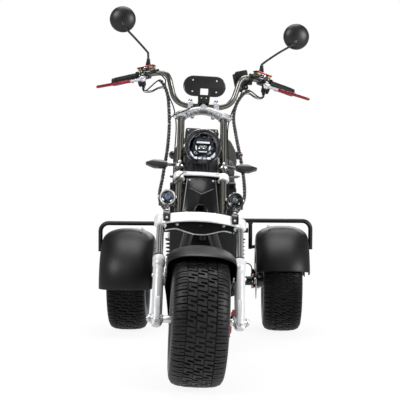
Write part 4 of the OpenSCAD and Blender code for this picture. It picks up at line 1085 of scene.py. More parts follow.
class TRIKE_OT_fenders(Operator):
    """Build the three fenders with their rolled lips, stays and bolts"""
    bl_idname = "trike.fenders"
    bl_label = "Fenders"

    def execute(self, context):
        front = Piece("fender_front", "fork", BARS)
        front.add(fender_shell(243, 262, 104, 112, 52, 64, 202, swept=5, tail=75), "fender_plastic")
        for side in (-1, 1):
            for y, z in ((8, 176), (70, 196)):
                front.add(bolt(5, 3), "steel", at(side * 121, y, z) @ turn("Y", 90 * side))
        front.done("front_fender")
        for side, name in ((1, "left"), (-1, "right")):
            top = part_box("rear_fender_" + name)[1].z
            settle = (top - REAR_AXLE.z) / MM - REAR_FENDER_RADIUS
            lip = (15, -2)[side < 0]
            place = rear_place(side) @ at(0, 0, settle)
            piece = Piece("fender_rear_" + name, "frame", place)
            piece.add(fender_shell(242, REAR_FENDER_RADIUS, 112, 104, 54, lip, lip + 165), "fender_plastic")
            bolt_circle = REAR_FENDER_RADIUS - 1.5
            for angle in (74, 90, 106):
                a = math.radians(angle)
                spot = at(-60, -bolt_circle * math.cos(a), bolt_circle * math.sin(a)) @ turn("X", 90 - angle)
                piece.add(bolt(6, 3), "steel", spot @ at(0, 0, -0.6))
            for y in (-26, 26):
                piece.add(bolt(6, 4), "steel", at(-120, y, 150) @ turn("Y", -90))
            piece.done("rear_fender_" + name)
        self.hoops()
        return {"FINISHED"}

    def hoops(self):
        piece = Piece("fender_hoop_tubes", "frame", Matrix.Translation((0, REAR_AXLE.y - 0.015, REAR_AXLE.z))
                      @ Matrix.Scale(MM, 4))
        for side in (-1, 1):
            settle = (4, -12)[side < 0]
            z = 252 + 12 + 10 + settle
            x, bend = 350 + 121 + 10.3, 38
            line = [(119, 0, z), (200, 0, z), (300, 0, z), (x - bend - 4, 0, z)]
            line += [(x - bend + bend * math.sin(a), 0, z - bend + bend * math.cos(a))
                     for a in (math.pi / 16 * i for i in range(9))]
            line += [(x, 0, z - bend - 30), (x, 0, 144 + settle)]
            piece.add(pipe(line, 10, 24), "frame_paint", sided(side))
            piece.add(spun([(0, -4), (8, -4), (10, -2), (10, 0), (0, 0)], 24), "rubber",
                      sided(side) @ at(x, 0, 144 + settle + 3.8))
            post = 350 - 121 - 22
            piece.add(pipe([(post, 0, 144 + settle), (post, 0, z - 4)], 9, 20), "frame_paint", sided(side))
            piece.add(pipe([(post, 0, 154 + settle), (350 - 121 - 0.4, 0, 154 + settle)], 8, 20),
                      "frame_paint",
                      sided(side))
            weld = spun([(9, -3), (11.5, -1), (12, 1.5), (9, 4), (9, -3)], 24)
            piece.add(weld, "weld", sided(side) @ at(post, 0, z - 12))
            flange = spun([(10, 0), (15, 0.5), (16, 2), (16, 4), (10, 6), (10, 0)], 24)
            piece.add(flange, "frame_paint", sided(side) @ at(119.5, 0, z) @ ALONG_X)
        piece.done("fender_hoops")


# ------------------------------------------------------------------ lamps

LAMP = BARS @ at(0, 386, 831 - FRONT_AXLE_Z)
INDICATOR_Z = 644


class TRIKE_OT_lamps(Operator):
    """Build the headlamp, the spot lamps and the front indicators"""
    bl_idname = "trike.lamps"
    bl_label = "Front lamps"

    def execute(self, context):
        self.headlamp()
        self.spots()
        self.indicators()
        return {"FINISHED"}

    def headlamp(self):
        """Made along -Y: a bucket, a dark ring, a clear domed cover and a projector with light bars."""
        face = at(0, -56, 0) @ FORWARD
        piece = Piece("headlamp_unit", "fork", LAMP)
        shell = [(0, -74), (30, -72), (50, -60), (62, -42), (67.5, -22), (67.5, -5), (66.8, -1), (64, 1),
                 (60.5, 1.6),
                 (58.5, 0), (58, -8), (57, -18), (0, -18)]
        piece.add(spun(shell, 64), "gloss_black", face)
        ring = [(58.2, -2), (60.5, 1.8), (63.5, 1.9), (66.8, -0.5), (67.6, -5), (67.6, -9), (66.2, -10)]
        piece.add(spun(ring, 64), "lamp_ring", face)
        reflector = [(57.5, -4), (55, -6), (50, -9), (45, -13), (41, -15.5), (41, -17.5), (57.5, -17.5)]
        piece.add(spun(reflector + reflector[:1], 64), "lamp_bowl", face)
        bowl = [(0, -16), (22, -16), (33, -14), (38, -10), (40.5, -6), (42, -6), (42.5, -9), (42.5, -17.4),
                (0, -17.4)]
        piece.add(spun(bowl, 64), "gloss_black", face)
        self.projector(piece, face)
        for low, high, out, top in ((204, 228, 53, "lamp_bar"), (312, 336, 53, "lamp_bar"),
                                    (48, 72, 50, "lamp_bowl"),
                                    (108, 132, 50, "lamp_bowl")):
            bar = slab(arc(0, 0, out, low, high, 8) + arc(0, 0, out - 6, high, low, 8), -13, -6.5, 1)
            piece.add(bar, top, face)
        for i in range(4):
            piece.add(slab([(-33 + 17 * i, -46), (-19 + 17 * i, -46), (-19 + 17 * i, -37),
                            (-33 + 17 * i, -37)], -13,
                           -6.5, 1, corner=1.5), "lamp_bar", face)
        for side in (-1, 1):
            ear = brick((side * 62 - 5, -24, -16), (side * 62 + 5, 18, 16), 4)
            piece.add(ear, "gloss_black")
            piece.add(bolt(6.5, 5), "steel", at(side * 66.4, 0, 0) @ turn("Y", 90 * side))
        piece.add(brick((-35, 14, -28), (35, 22, -22), 2), "gloss_black")
        piece.done("headlamp")
        glass = Piece("headlamp_glass", "fork", LAMP)
        dome = [(0, 1.2), (20, 0.9), (38, -0.1), (50, -1.5), (58.2, -3.2), (58.2, -5), (50, -3.4), (38, -2),
                (20, -1),
                (0, -0.7)]
        glass.add(spun(dome, 64), "clear_glass", face)
        glass.done()
        stays = Piece("headlamp_stays", "fork", FORK)
        for side in (-1, 1):
            stays.add(slab([(side * 22, -9), (side * 22, 8), (side * 38, 8), (side * 38, -9)], 700, 722, 2,
                           corner=3),
                      "frame_paint")
            stays.add(pipe(flowing([(side * 66, -6, 690), (side * 60, -30, 700), (side * 64, -52, 726)], 4),
                           5, 12),
                      "frame_paint")
        stays.done()

    def projector(self, piece, face):
        """The framed middle of the lamp: a bright brow, short cheeks, a chin and two eyes."""
        frame_line = [(-27, -20), (27, -20), (30, 4), (25, 21), (-25, 21), (-30, 4)]
        piece.add(slab(frame_line, -16, -11, 2, corner=6), "gloss_black", face)
        for outline in ([(-25, 13), (25, 13), (23, 20), (-23, 20)],
                        [(-14, -20), (14, -20), (16, -16), (-16, -16)]):
            piece.add(slab(outline, -12, -7.5, 1, corner=1.5), "lamp_bar", face)
        for side in (-1, 1):
            cheek = [(side * 22, -13), (side * 28, -8), (side * 28, 6), (side * 23, 2)]
            piece.add(slab(cheek, -12, -8, 1), "lamp_bar", face)
            eye = [(0, 3), (3, 2.6), (5.4, 1), (6, -2), (0, -2)]
            piece.add(spun(eye, 28), "lamp_eye", face @ at(side * 8, -2, -10))
            ring = [(6, -1.6), (6.4, 0.6), (7.4, 1), (8, 0), (8, -2), (6, -1.6)]
            piece.add(spun(ring, 28), "lamp_chrome", face @ at(side * 8, -2, -10))
        wedge = [(-13, 5), (13, 5), (10, 10), (-10, 10)]
        piece.add(slab(wedge, -12, -9.5, 0.8), "lamp_bowl", face)

    def spots(self):
        """Each is made along -Y on a ball mount that stands on a tab bolted to the lower yoke."""
        for side, name, glass in ((1, "left", "lamp_eye"), (-1, "right", "lamp_blue")):
            piece = Piece("spot_lamp_" + name, "fork", BARS @ at(side * 124, 262, 641 - FRONT_AXLE_Z))
            body = [(0, -30), (12, -30), (19, -26), (24, -20), (26, -10), (27.5, -6), (27.5, -3), (26.2, -1),
                    (27.5, 1), (27.5, 5), (26.4, 7), (28.8, 10), (28.8, 22), (27.6, 24.5), (25, 24.8),
                    (24, 22),
                    (23, 14), (0, 14)]
            piece.add(spun(body, 40), "gloss_black", FORWARD)
            # The two lamps are built alike, but the rider's left one has gloss black where the right one has
            # a bright bezel and a chrome bowl: painted shade on the left lamp.
            bezel = [(23.4, 22.6), (24.2, 26), (26.6, 26.9), (28.6, 25.6), (28.9, 22.6)]
            piece.add(spun(bezel + bezel[:1], 40), "bright_cast" if side < 0 else "gloss_black", FORWARD)
            bowl = [(23.4, 21), (20, 17.5), (14, 15.6), (10, 15.2), (10, 14.4), (23.4, 14.4)]
            piece.add(spun(bowl + bowl[:1], 40), "lamp_bowl" if side < 0 else "gloss_black", FORWARD)
            eye = [(0, 21.5), (5, 21), (9, 18.8), (11, 15), (0, 15)]
            piece.add(spun(eye, 32), glass, FORWARD)
            for i in range(3):
                piece.add(spun([(0, 17.8), (2.4, 17.4), (3.2, 15), (0, 15)], 12), "lamp_eye",
                          FORWARD @ turn("Z", 120 * i + 90) @ at(15, 0, 0.4))
            for i in range(5):
                fin = spun([(20, -19 + 4 * i), (25.6, -19 + 4 * i), (25.6, -17.4 + 4 * i),
                            (20, -17.4 + 4 * i),
                            (20, -19 + 4 * i)], 32)
                piece.add(fin, "gloss_black", FORWARD)
            for one in (-1, 1):
                piece.add(brick((one * 29 - 2, -8, -30), (one * 29 + 2, 8, 6), 1.5), "gloss_black")
                piece.add(bolt(5.5, 3.5), "steel", at(one * 30.6, 0, 0) @ turn("Y", 90 * one))
            piece.add(brick((-31, -8, -34), (31, 8, -29), 2), "gloss_black")
            cover = [(0, 25.6), (12, 25), (20, 23.6), (22.4, 22), (22.4, 20.8), (20, 22.2), (12, 23.6),
                     (0, 24.2)]
            piece.add(spun(cover, 40), "clear_glass", FORWARD)
            piece.done()
        mounts = Piece("spot_lamp_mounts", "fork", FORK)
        top = LOWER[1]
        for side in (-1, 1):
            x = side * 124
            tab = slab([(-12, 3), (-13, 30), (-11, 43), (11, 43), (13, 30), (12, 3)], 35.4, 39.4, 1.2)
            mounts.add(tab, "gloss_black", at(x, 0, LOWER[0] - 3) @ FORWARD)
            mounts.add(brick((x - 13, -39, top + 0.3), (x + 13, -8, top + 4.3), 1.5), "gloss_black")
            mounts.add(bolt(5, 4), "steel", at(x - side * 1, -39, LOWER[0] + 12) @ FORWARD)
            ball = [(0, top + 3), (9, top + 4), (10, top + 9), (7.5, top + 13), (6.5, top + 22),
                    (7.2, top + 30),
                    (9.5, top + 34), (10, top + 40), (8, top + 46), (6, top + 62), (0, top + 64)]
            mounts.add(spun(ball, 28), "gloss_black", at(x, -21, 0))
            mounts.add(nut(9, 6, 2), "steel", at(x, -21, top + 13))
        mounts.done("spot_lamps")

    def indicators(self):
        """Pointed lamps on stalks, clamped round the fork tubes."""
        piece = Piece("indicators_front", "fork", FORK)
        for side in (-1, 1):
            clamp = [(13.7, -11), (18.5, -11), (19.5, -9.5), (19.5, 9.5), (18.5, 11), (13.7, 11)]
            piece.add(spun(clamp + clamp[:1], 36), "lamp_chrome", at(side * TUBE_X, 0, INDICATOR_Z))
            piece.add(brick((-5, -26, -8), (5, -17, 8), 2), "lamp_chrome", at(side * TUBE_X, 0, INDICATOR_Z))
            piece.add(bolt(5, 4), "steel", at(side * TUBE_X, -26, INDICATOR_Z) @ FORWARD)
            out = sided(side) @ at(TUBE_X, -4, INDICATOR_Z) @ ALONG_X
            stalk = [(0, 17), (8.5, 17), (8.5, 23), (5.6, 26), (5.2, 34), (6.6, 37), (5.2, 40), (6.6, 43),
                     (5.4, 46),
                     (8, 50), (0, 50)]
            piece.add(spun(stalk, 24), "gloss_black", out)
            shell = slab([(-8, 46), (8, 46), (17, 68), (17, 96), (3.5, 128), (-3.5, 128), (-17, 96),
                          (-17, 68)],
                         -8, 9, 3.5, corner=3, segments=3)
            turned = sided(side) @ at(TUBE_X, -4, INDICATOR_Z) @ Matrix(((0, 1, 0, 0), (0, 0, 1, 0),
                    (1, 0, 0, 0),
                                                                         (0, 0, 0, 1)))
            piece.add(shell, "gloss_black", turned)
            lens = slab([(-5, 54), (5, 54), (13, 70), (13, 95), (3, 121), (-3, 121), (-13, 95), (-13, 70)],
                        -11.5, -7, 2.5, corner=2.5, segments=3)
            piece.add(lens, "smoked_lens", turned)
        piece.done("front_indicators")


# ------------------------------------------------------------------ handlebar and controls

BAR = FORK @ at(0, -27, 910) @ turn("X", 35)              # the middle of the bar, level and upright
BAR_LINE = [(62, 0, 0), (74, 0, 1.5), (98, 2, 12), (116, 5, 34), (127, 9, 68), (136, 12, 98), (149, 16, 116),
            (170, 21, 121), (198, 27, 118)]
GRIP_START, GRIP_END = Vector((210, 30, 115)), Vector((356, 82, 77))
GRIP_SPAN = (GRIP_END - GRIP_START).length
GRIP_WAY = (GRIP_END - GRIP_START) / GRIP_SPAN
GRIP_LENGTH = 108
GRIP_R = 15.5


def along_grip(side, d=0):
    """Z runs outward along the grip, X down from the bar and Y back."""
    back = Vector((-GRIP_WAY.y, GRIP_WAY.x, 0)).normalized()
    down = back.cross(GRIP_WAY)
    m = Matrix((down, back, GRIP_WAY)).transposed().to_4x4()
    return sided(side) @ Matrix.Translation(GRIP_START + d * GRIP_WAY) @ m


class TRIKE_OT_handlebar(Operator):
    """Build the handlebar, its risers and the ribbed grips"""
    bl_idname = "trike.handlebar"
    bl_label = "Handlebar"

    def execute(self, context):
        half = [Vector((30, 0, 0))] + flowing(BAR_LINE, 6) + [GRIP_START + d * GRIP_WAY for d in (3, 24, 90)]
        half.append(GRIP_START + (GRIP_SPAN - 6) * GRIP_WAY)
        mirrored = [Vector((-p.x, p.y, p.z)) for p in reversed(half)]
        bar = Piece("handlebar_tube", "fork", BAR)
        bar.add(pipe(mirrored + half, 11, 28), "bar_chrome")
        bar.done("handlebar")
        self.risers()
        self.grips()
        return {"FINISHED"}

    def risers(self):
        piece = Piece("risers", "fork", FORK)
        top = TOP[1]
        for side in (-1, 1):
            x = side * 50
            foot = [(0, top + 0.3), (13, top + 0.3), (14.5, top + 1.5), (14.5, top + 4), (12, top + 6),
                    (11, top + 10),
                    (0, top + 10)]
            piece.add(spun(foot, 32), "bright_cast", at(x, -27, 0))
            block = [(11.3, -10), (17, -10), (18, -9), (18, 9), (17, 10), (11.3, 10)]
            piece.add(spun(block + block[:1], 40), "bright_cast", at(x, -27, 910) @ ALONG_X)
            point = [(0, 915), (8.5, 915), (8.5, 921), (7.6, 926), (8.6, 928), (8.4, 934), (7, 939),
                     (4, 942.5),
                     (0, 943.5)]
            piece.add(spun(point, 28), "dark_chrome", at(x, -27, 0))
            for y in (-42, -12):
                piece.add(bolt(3.6, 3), "steel", at(x, y, 914))
                piece.add(brick((x - 5, min(y, -27) + 2, 904), (x + 5, max(y, -27) - 2, 915), 2),
                          "bright_cast")
        piece.done("bar_risers", slot="cast_aluminium")

    def grips(self):
        piece = Piece("hand_grips", "fork", BAR)
        rings = [(11.3, 0), (19, 0), (20.5, 1.5), (20.5, 3.5), (19, 5), (16.6, 6)]
        for i in range(14):
            z = 7 + i * 6.7
            rings += [(GRIP_R - 0.2, z), (GRIP_R, z + 1), (GRIP_R, z + 4.6), (GRIP_R - 1.2, z + 5.4)]
        rings += [(GRIP_R, 102), (GRIP_R, 106), (GRIP_R - 2, 108), (0, 108.5), (0, 104), (11.3, 104)]
        for side in (-1, 1):
            place = along_grip(side, GRIP_SPAN - GRIP_LENGTH)
            piece.add(spun(rings + rings[:1], 32), "rubber", place)
            for i in range(10):
                pad = brick((GRIP_R - 1.5, -2.6, 14), (GRIP_R + 0.6, 2.6, 96), 1)
                piece.add(pad, "rubber", place @ turn("Z", 36 * i))
        piece.done("grips")


class TRIKE_OT_controls(Operator):
    """Build the brake levers, master cylinders, switch pods and the phone cradle"""
    bl_idname = "trike.controls"
    bl_label = "Controls"

    def execute(self, context):
        levers = Piece("levers", "fork", BAR)
        masters = Piece("masters", "fork", BAR)
        pods = Piece("pods", "fork", BAR)
        for side in (-1, 1):
            grip = along_grip(side)
            self.lever(levers, grip)
            self.master(masters, grip)
            self.pod(pods, grip, side)
        levers.done("brake_levers")
        masters.done("master_cylinders")
        pods.done("switch_pods")
        self.cradle()
        return {"FINISHED"}

    def lever(self, piece, grip):
        blade = flowing([(21, -57, 66), (19.5, -60, 90), (17, -60.5, 125), (14, -59, 165),
                         (12.5, -57.5, 194)], 5)
        flat = Matrix.Scale(0.72, 4, (1, 0, 0))
        radii = [8.8 - 1.0 * i / (len(blade) - 1) for i in range(len(blade))]
        shape = pipe(blade, radii, 14)
        piece.add(shape, "red", grip @ at(5, 0, 0) @ flat)
        tip = [(0, 7.5), (5.5, 6.4), (7.6, 4), (8, 0), (7.9, -7), (0, -7)]
        piece.add(spun(tip, 24), "red", grip @ at(13.5, -57.4, 200.5) @ flat)
        root = flowing([(22, -44, 12), (23, -52, 22), (22, -56.5, 45), (21.2, -57.2, 68)], 4)
        piece.add(pipe(root, [9, 9, 9, 8.8, 8.6, 8.4, 8.2, 8, 7.8, 7.6, 7.4, 7.2, 7][:len(root)], 14),
                  "bright_cast",
                  grip @ at(5, 0, 0) @ flat)
        knob = [(0, -9), (6, -9), (7.5, -7), (7.5, 7), (6, 9), (0, 9)]
        piece.add(spun(knob, 20), "bright_cast", grip @ at(22, -50, 17) @ ALONG_X)
        piece.add(spun([(0, -7), (4, -7), (5, -5), (5, 5), (4, 7), (0, 7)], 16), "red",
                  grip @ at(20, -48, 62) @ ALONG_X)
        # Near-black dimples along the blade: painted shade.
        for i in range(4):
            piece.add(spun([(0, -5.8), (2.4, -5.8), (2.4, 5.8), (0, 5.8)], 10), "recess_black",
                      grip @ at(18 - i * 0.9, -60.2, 100 + 14 * i) @ ALONG_X)

    def master(self, piece, grip):
        facing_up = Matrix(((0, 0, 1, 0), (1, 0, 0, 0), (0, 1, 0, 0), (0, 0, 0, 1)))
        body = brick((-27.5, -19, -20), (-17, 19, 42), 3)
        piece.add(body, "gold_cast", grip)
        piece.add(brick((-19, -15, -14), (-12, 15, 36), 2), "gloss_black", grip)
        piece.add(brick((-27.2, -19.6, -6), (-17.4, 19.6, 29), 2), "gloss_black", grip)
        cap = slab([(-22, -24), (22, -24), (22, 46), (-22, 46)], -2.4, 2.4, 1.4, corner=8)
        piece.add(cap, "red", grip @ at(-29.5, 0, 0) @ facing_up)
        for z in (-16, 38):
            piece.add(bolt(3.6, 2.2), "steel", grip @ at(-31.7, 0, z) @ turn("Y", -90))
        # The sight window takes the glowing lamp_eye finish, though it is no lamp: a painted glint.
        window = spun([(0, 0), (3.2, 0), (4, 0.6), (4, 3), (0, 3)], 24)
        piece.add(window, "lamp_eye", grip @ at(-22, -18.5, 14) @ FORWARD @ at(0, 0, -1.4))
        ring = spun([(4, 0), (5.2, 0), (5.2, 3), (4, 3.4), (4, 0)], 24)
        piece.add(ring, "lamp_chrome", grip @ at(-22, -18.5, 14) @ FORWARD @ at(0, 0, -1))
        clamp = [(11.3, 2), (17, 2), (18, 3), (18, 27), (17, 28), (11.3, 28)]
        piece.add(spun(clamp + clamp[:1], 32), "gloss_black", grip)
        perch = slab([(-13, -10), (-13, -26), (-6, -44), (0, -58), (13, -60), (14.5, -48), (14, -30),
                      (14, -10)],
                     4, 25, 3)
        piece.add(perch, "gloss_black", grip)
        piece.add(brick((-10, -60, 8), (2, -22, 24), 4), "gloss_black", grip)
        piece.add(brick((11, -61.5, 6), (20, -42, 30), 2.5), "bright_cast", grip)
        barrel = [(0, -26), (8, -26), (9, -24), (9, 22), (8, 25), (0, 25)]
        piece.add(spun(barrel, 24), "gloss_black", grip @ at(-3, -30, 0))
        for z in (8, 22):
            piece.add(bolt(3.5, 3), "steel", grip @ at(0, 17.6, z) @ turn("X", -90))
        piece.add(spun([(0, 0), (6, 0), (7, 2), (7, 8), (5, 10), (5, 22), (0, 22)], 20), "rubber",
                  grip @ at(-3, -30, -24) @ turn("X", 180))

    def pod(self, piece, grip, side):
        outer = GRIP_SPAN - GRIP_LENGTH - 0.3
        shell = slab([(3, -19), (22, -21), (40, -16), (42, -4), (40, 11), (26, 16), (3, 15)], 28.6, outer, 3,
                     corner=4)
        piece.add(shell, "dark_plastic", grip)
        collar = [(11.3, 46.6), (18, 46.6), (20, 48), (20, outer - 1), (19, outer), (11.3, outer)]
        piece.add(spun(collar + collar[:1], 32), "dark_plastic", grip)
        # A near-black line across the pod: painted shade in its seam.
        piece.add(brick((20.5, -19.8, 39.4), (41, 14, 40.4), 0.3), "recess_black", grip)
        piece.add(brick((16, 14.4, 33), (26, 18.5, 46), 1.5), "red" if side > 0 else "gold_cast", grip)
        piece.add(brick((28, 13, 33), (38, 16.5, 46), 1.5), "rubber", grip)
        piece.add(brick((24, -22.6, 34), (34, -18.5, 46), 1.5), "rubber", grip)
        for y in (-12, 8):
            piece.add(bolt(2.8, 1.6), "steel", grip @ at(41.6, y, 40) @ turn("Y", 90))
        gland = [(0, 0), (7, 0), (7.5, 2), (6.5, 8), (5.5, 9), (5.5, 14), (0, 14)]
        piece.add(spun(gland, 20), "rubber", grip @ at(40, -4, 36) @ turn("Y", 90) @ at(0, 0, -3))

    def cradle(self):
        piece = Piece("phone_holder", "fork", BAR)
        lean = at(146, 0, 108) @ turn("Y", -14) @ at(-146, 0, -108)
        piece.add(brick((124, 44, 84), (168, 54, 132), 4), "dark_plastic", lean)
        piece.add(brick((117, 41, 80), (128, 64, 142), 4), "dark_plastic", lean)
        piece.add(brick((166, 42, 92), (176, 62, 130), 4), "dark_plastic", lean)
        piece.add(brick((127, 38, 118), (176, 64, 149), 6), "dark_plastic", lean)
        piece.add(brick((126, 40, 72), (168, 62, 96), 6), "rubber", lean)
        piece.add(brick((130, 54, 96), (160, 64, 124), 4), "rubber", lean)
        piece.add(brick((126, 40, 66), (152, 52, 82), 4), "dark_plastic")
        for x, z in ((138, 84), (158, 84)):
            piece.add(bolt(3.5, 2.5), "steel", lean @ at(x, 42, z) @ FORWARD)
        low, high = Vector((170, 21, 121)), Vector((198, 27, 118))
        way = high - low
        turn_to = Vector((0, 0, 1)).rotation_difference(way).to_matrix().to_4x4()
        ring = [(12.4, 0.12 * way.length), (18, 0.12 * way.length), (19, 0.16 * way.length),
                (19, 0.54 * way.length),
                (18, 0.58 * way.length), (12.4, 0.58 * way.length)]
        piece.add(spun(ring + ring[:1], 32), "dark_plastic", Matrix.Translation(low) @ turn_to)
        piece.add(brick((171, 30, 111), (183, 46, 127), 3), "dark_plastic")
        knob = [(0, 0), (9, 0), (11, 2), (11, 8), (9, 10), (0, 10)]
        piece.add(spun(knob, 12, 0.8), "rubber", at(176, 24, 104) @ turn("X", 180))
        piece.done("phone_cradle")


MIRROR_STEMS = {1: [(0, 0, 0), (0, 0, 24), (8, 0, 36), (66, 2, 80), (126, 6, 118)],
                -1: [(0, 0, 0), (2, 0, 42), (8, 0, 54), (56, 2, 102), (102, 6, 145)]}
MIRROR_R = 51


class TRIKE_OT_mirrors(Operator):
    """Build the round mirrors on their bent stems, and the instrument's plate"""
    bl_idname = "trike.mirrors"
    bl_label = "Mirrors and instrument"

    def execute(self, context):
        piece = Piece("mirror_pair", "fork", BAR)
        for side in (-1, 1):
            base = GRIP_START + 12 * GRIP_WAY + Vector((0, -2, 35.7))
            place = sided(side) @ Matrix.Translation(base)
            stem = MIRROR_STEMS[side]
            piece.add(pipe(flowing(stem, 6), 4.3, 16), "stem_black", place)
            boot = [(0, -0.5), (9, -0.5), (10, 1), (10, 5), (8.4, 7), (9.2, 9), (8, 11), (8.4, 13.5),
                    (6.6, 16),
                    (6.8, 19), (5, 22), (0, 22)]
            piece.add(spun(boot, 24), "rubber", place)
            piece.add(nut(7, 5, 1), "stem_black", place @ at(0, 0, 20))
            tip = Vector(stem[-1])
            back = [(0, 0)] + [(MIRROR_R * math.sin(a), 25 * (1 - math.cos(a)))
                               for a in (math.pi / 2 * i / 12 for i in range(1, 13))]
            shell = back + [(MIRROR_R, 28), (MIRROR_R - 1, 30), (MIRROR_R - 3.4, 30.6),
                            (MIRROR_R - 4.2, 29.4), (0, 29.4)]
            head = place @ Matrix.Translation(tip + Vector((6, -4, 30))) @ turn("X", -90)
            piece.add(spun(shell, 64), "mirror_back", head)
            piece.add(spun([(0, 29), (MIRROR_R - 4, 29), (MIRROR_R - 4.4, 30), (0, 30.2)], 64),
                      "mirror_glass", head)
            joint = flowing([tip, tip + Vector((3, 4, 10)), tip + Vector((5, 9, 20))], 3)
            piece.add(pipe(joint, [6, 6.5, 7.5, 8.5, 9.5, 10.5, 11], 16), "stem_black", place)
        piece.done("mirrors")
        self.instrument()
        return {"FINISHED"}

    def oval(self, half, r):
        """A stadium outline round the instrument's middle, from its foot and back to it."""
        return arc(half, 76, r, -90, 90, 14) + arc(-half, 76, r, 90, 270, 14)

    def notched(self, outline, half):
        """The outline with a slot that is open at its foot."""
        foot, top = outline[0][1], 52 + half
        return outline + [(-half, foot), (-half, top), (half, top), (half, foot)]

    def instrument(self):
        piece = Piece("instrument_plate", "fork", BAR @ at(0, -6, 0))
        wide, tall = 80, 38
        oval = self.oval(wide - tall + 0.5, tall - 0.5)
        piece.add(slab(self.notched(oval, 15), 11, 15, 1.2, segments=3), "plate_black", FORWARD)
        edge = oval[-1:] + oval
        start, end = Vector((-17, -13, oval[-1][1])), Vector((17, -13, oval[0][1]))
        piece.add(pipe([end] + [(x, -13, z) for x, z in edge[1:]] + [start], 2.4, 10), "gloss_black")
        back = self.notched(self.oval(wide - tall - 4, tall - 8), 16.5)
        piece.add(slab(back, 0.5, 11, 2.5), "dark_plastic", FORWARD)
        screen = self.notched(self.oval(wide - tall - 4, tall - 13), 18)
        piece.add(slab(screen, -0.6, 1.5, 0.5), "mirror_glass", FORWARD)
        for x in (-46, 46):
            for z in (55, 98):
                piece.add(bolt(3.4, 2), "screw_bright", at(x, -15.4, z) @ FORWARD)
        stay = slab([(-22, 12), (22, 12), (24, 46), (21, 60), (15.5, 60), (15.5, 43), (-15.5, 43),
                     (-15.5, 60),
                     (-21, 60), (-24, 46)], 12, 15.8, 1.2)
        piece.add(stay, "plate_black", FORWARD)
        for x in (-9, 9):
            piece.add(bolt(2.6, 1.6), "screw_bright", at(x, -15.8, 31) @ FORWARD)
        piece.add(brick((-22, -16, 11.4), (22, 23, 15.2), 1), "plate_black")
        for x in (-14, 14):
            band = [(11.2, -4), (13.4, -4), (13.8, -3), (13.8, 3), (13.4, 4), (11.2, 4)]
            piece.add(spun(band + band[:1], 32), "gloss_black", at(x, 6, 0) @ ALONG_X)
        piece.done("instrument")


LOOM_START = GRIP_START + 40 * GRIP_WAY + Vector((-8, -5, -47.5))
# Points level with the ground, measured from below the straight-ahead front axle: X out, Y back, Z up.
LOOM_LEFT = [(233, 541, 1042), (222, 540, 1038), (204, 534, 1047), (188, 529, 1058), (172, 525, 1060),
             (150, 520, 1041), (132, 512, 1011), (122, 503, 975), (121, 490, 940), (129, 472, 895),
             (144, 430, 820), (157, 402, 760), (165, 372, 700), (166, 345, 650), (150, 322, 612)]
LOOM_RIGHT = [(233, 541, 1042), (222, 539, 1041), (204, 532, 1058), (184, 526, 1077), (171, 523, 1080),
              (160, 519, 1069), (148, 514, 1049), (138, 508, 1018), (132, 498, 972), (128, 480, 917),
              (128, 462, 863), (132, 436, 803), (138, 412, 757), (144, 388, 705), (152, 360, 650),
              (146, 335, 615)]


def fork_spot(x, y, z):
    """A point of the fork, measured level and upright from the front axle."""
    c, s = math.cos(RAKE), math.sin(RAKE)
    return Vector((x, y * c + z * s, z * c - y * s))


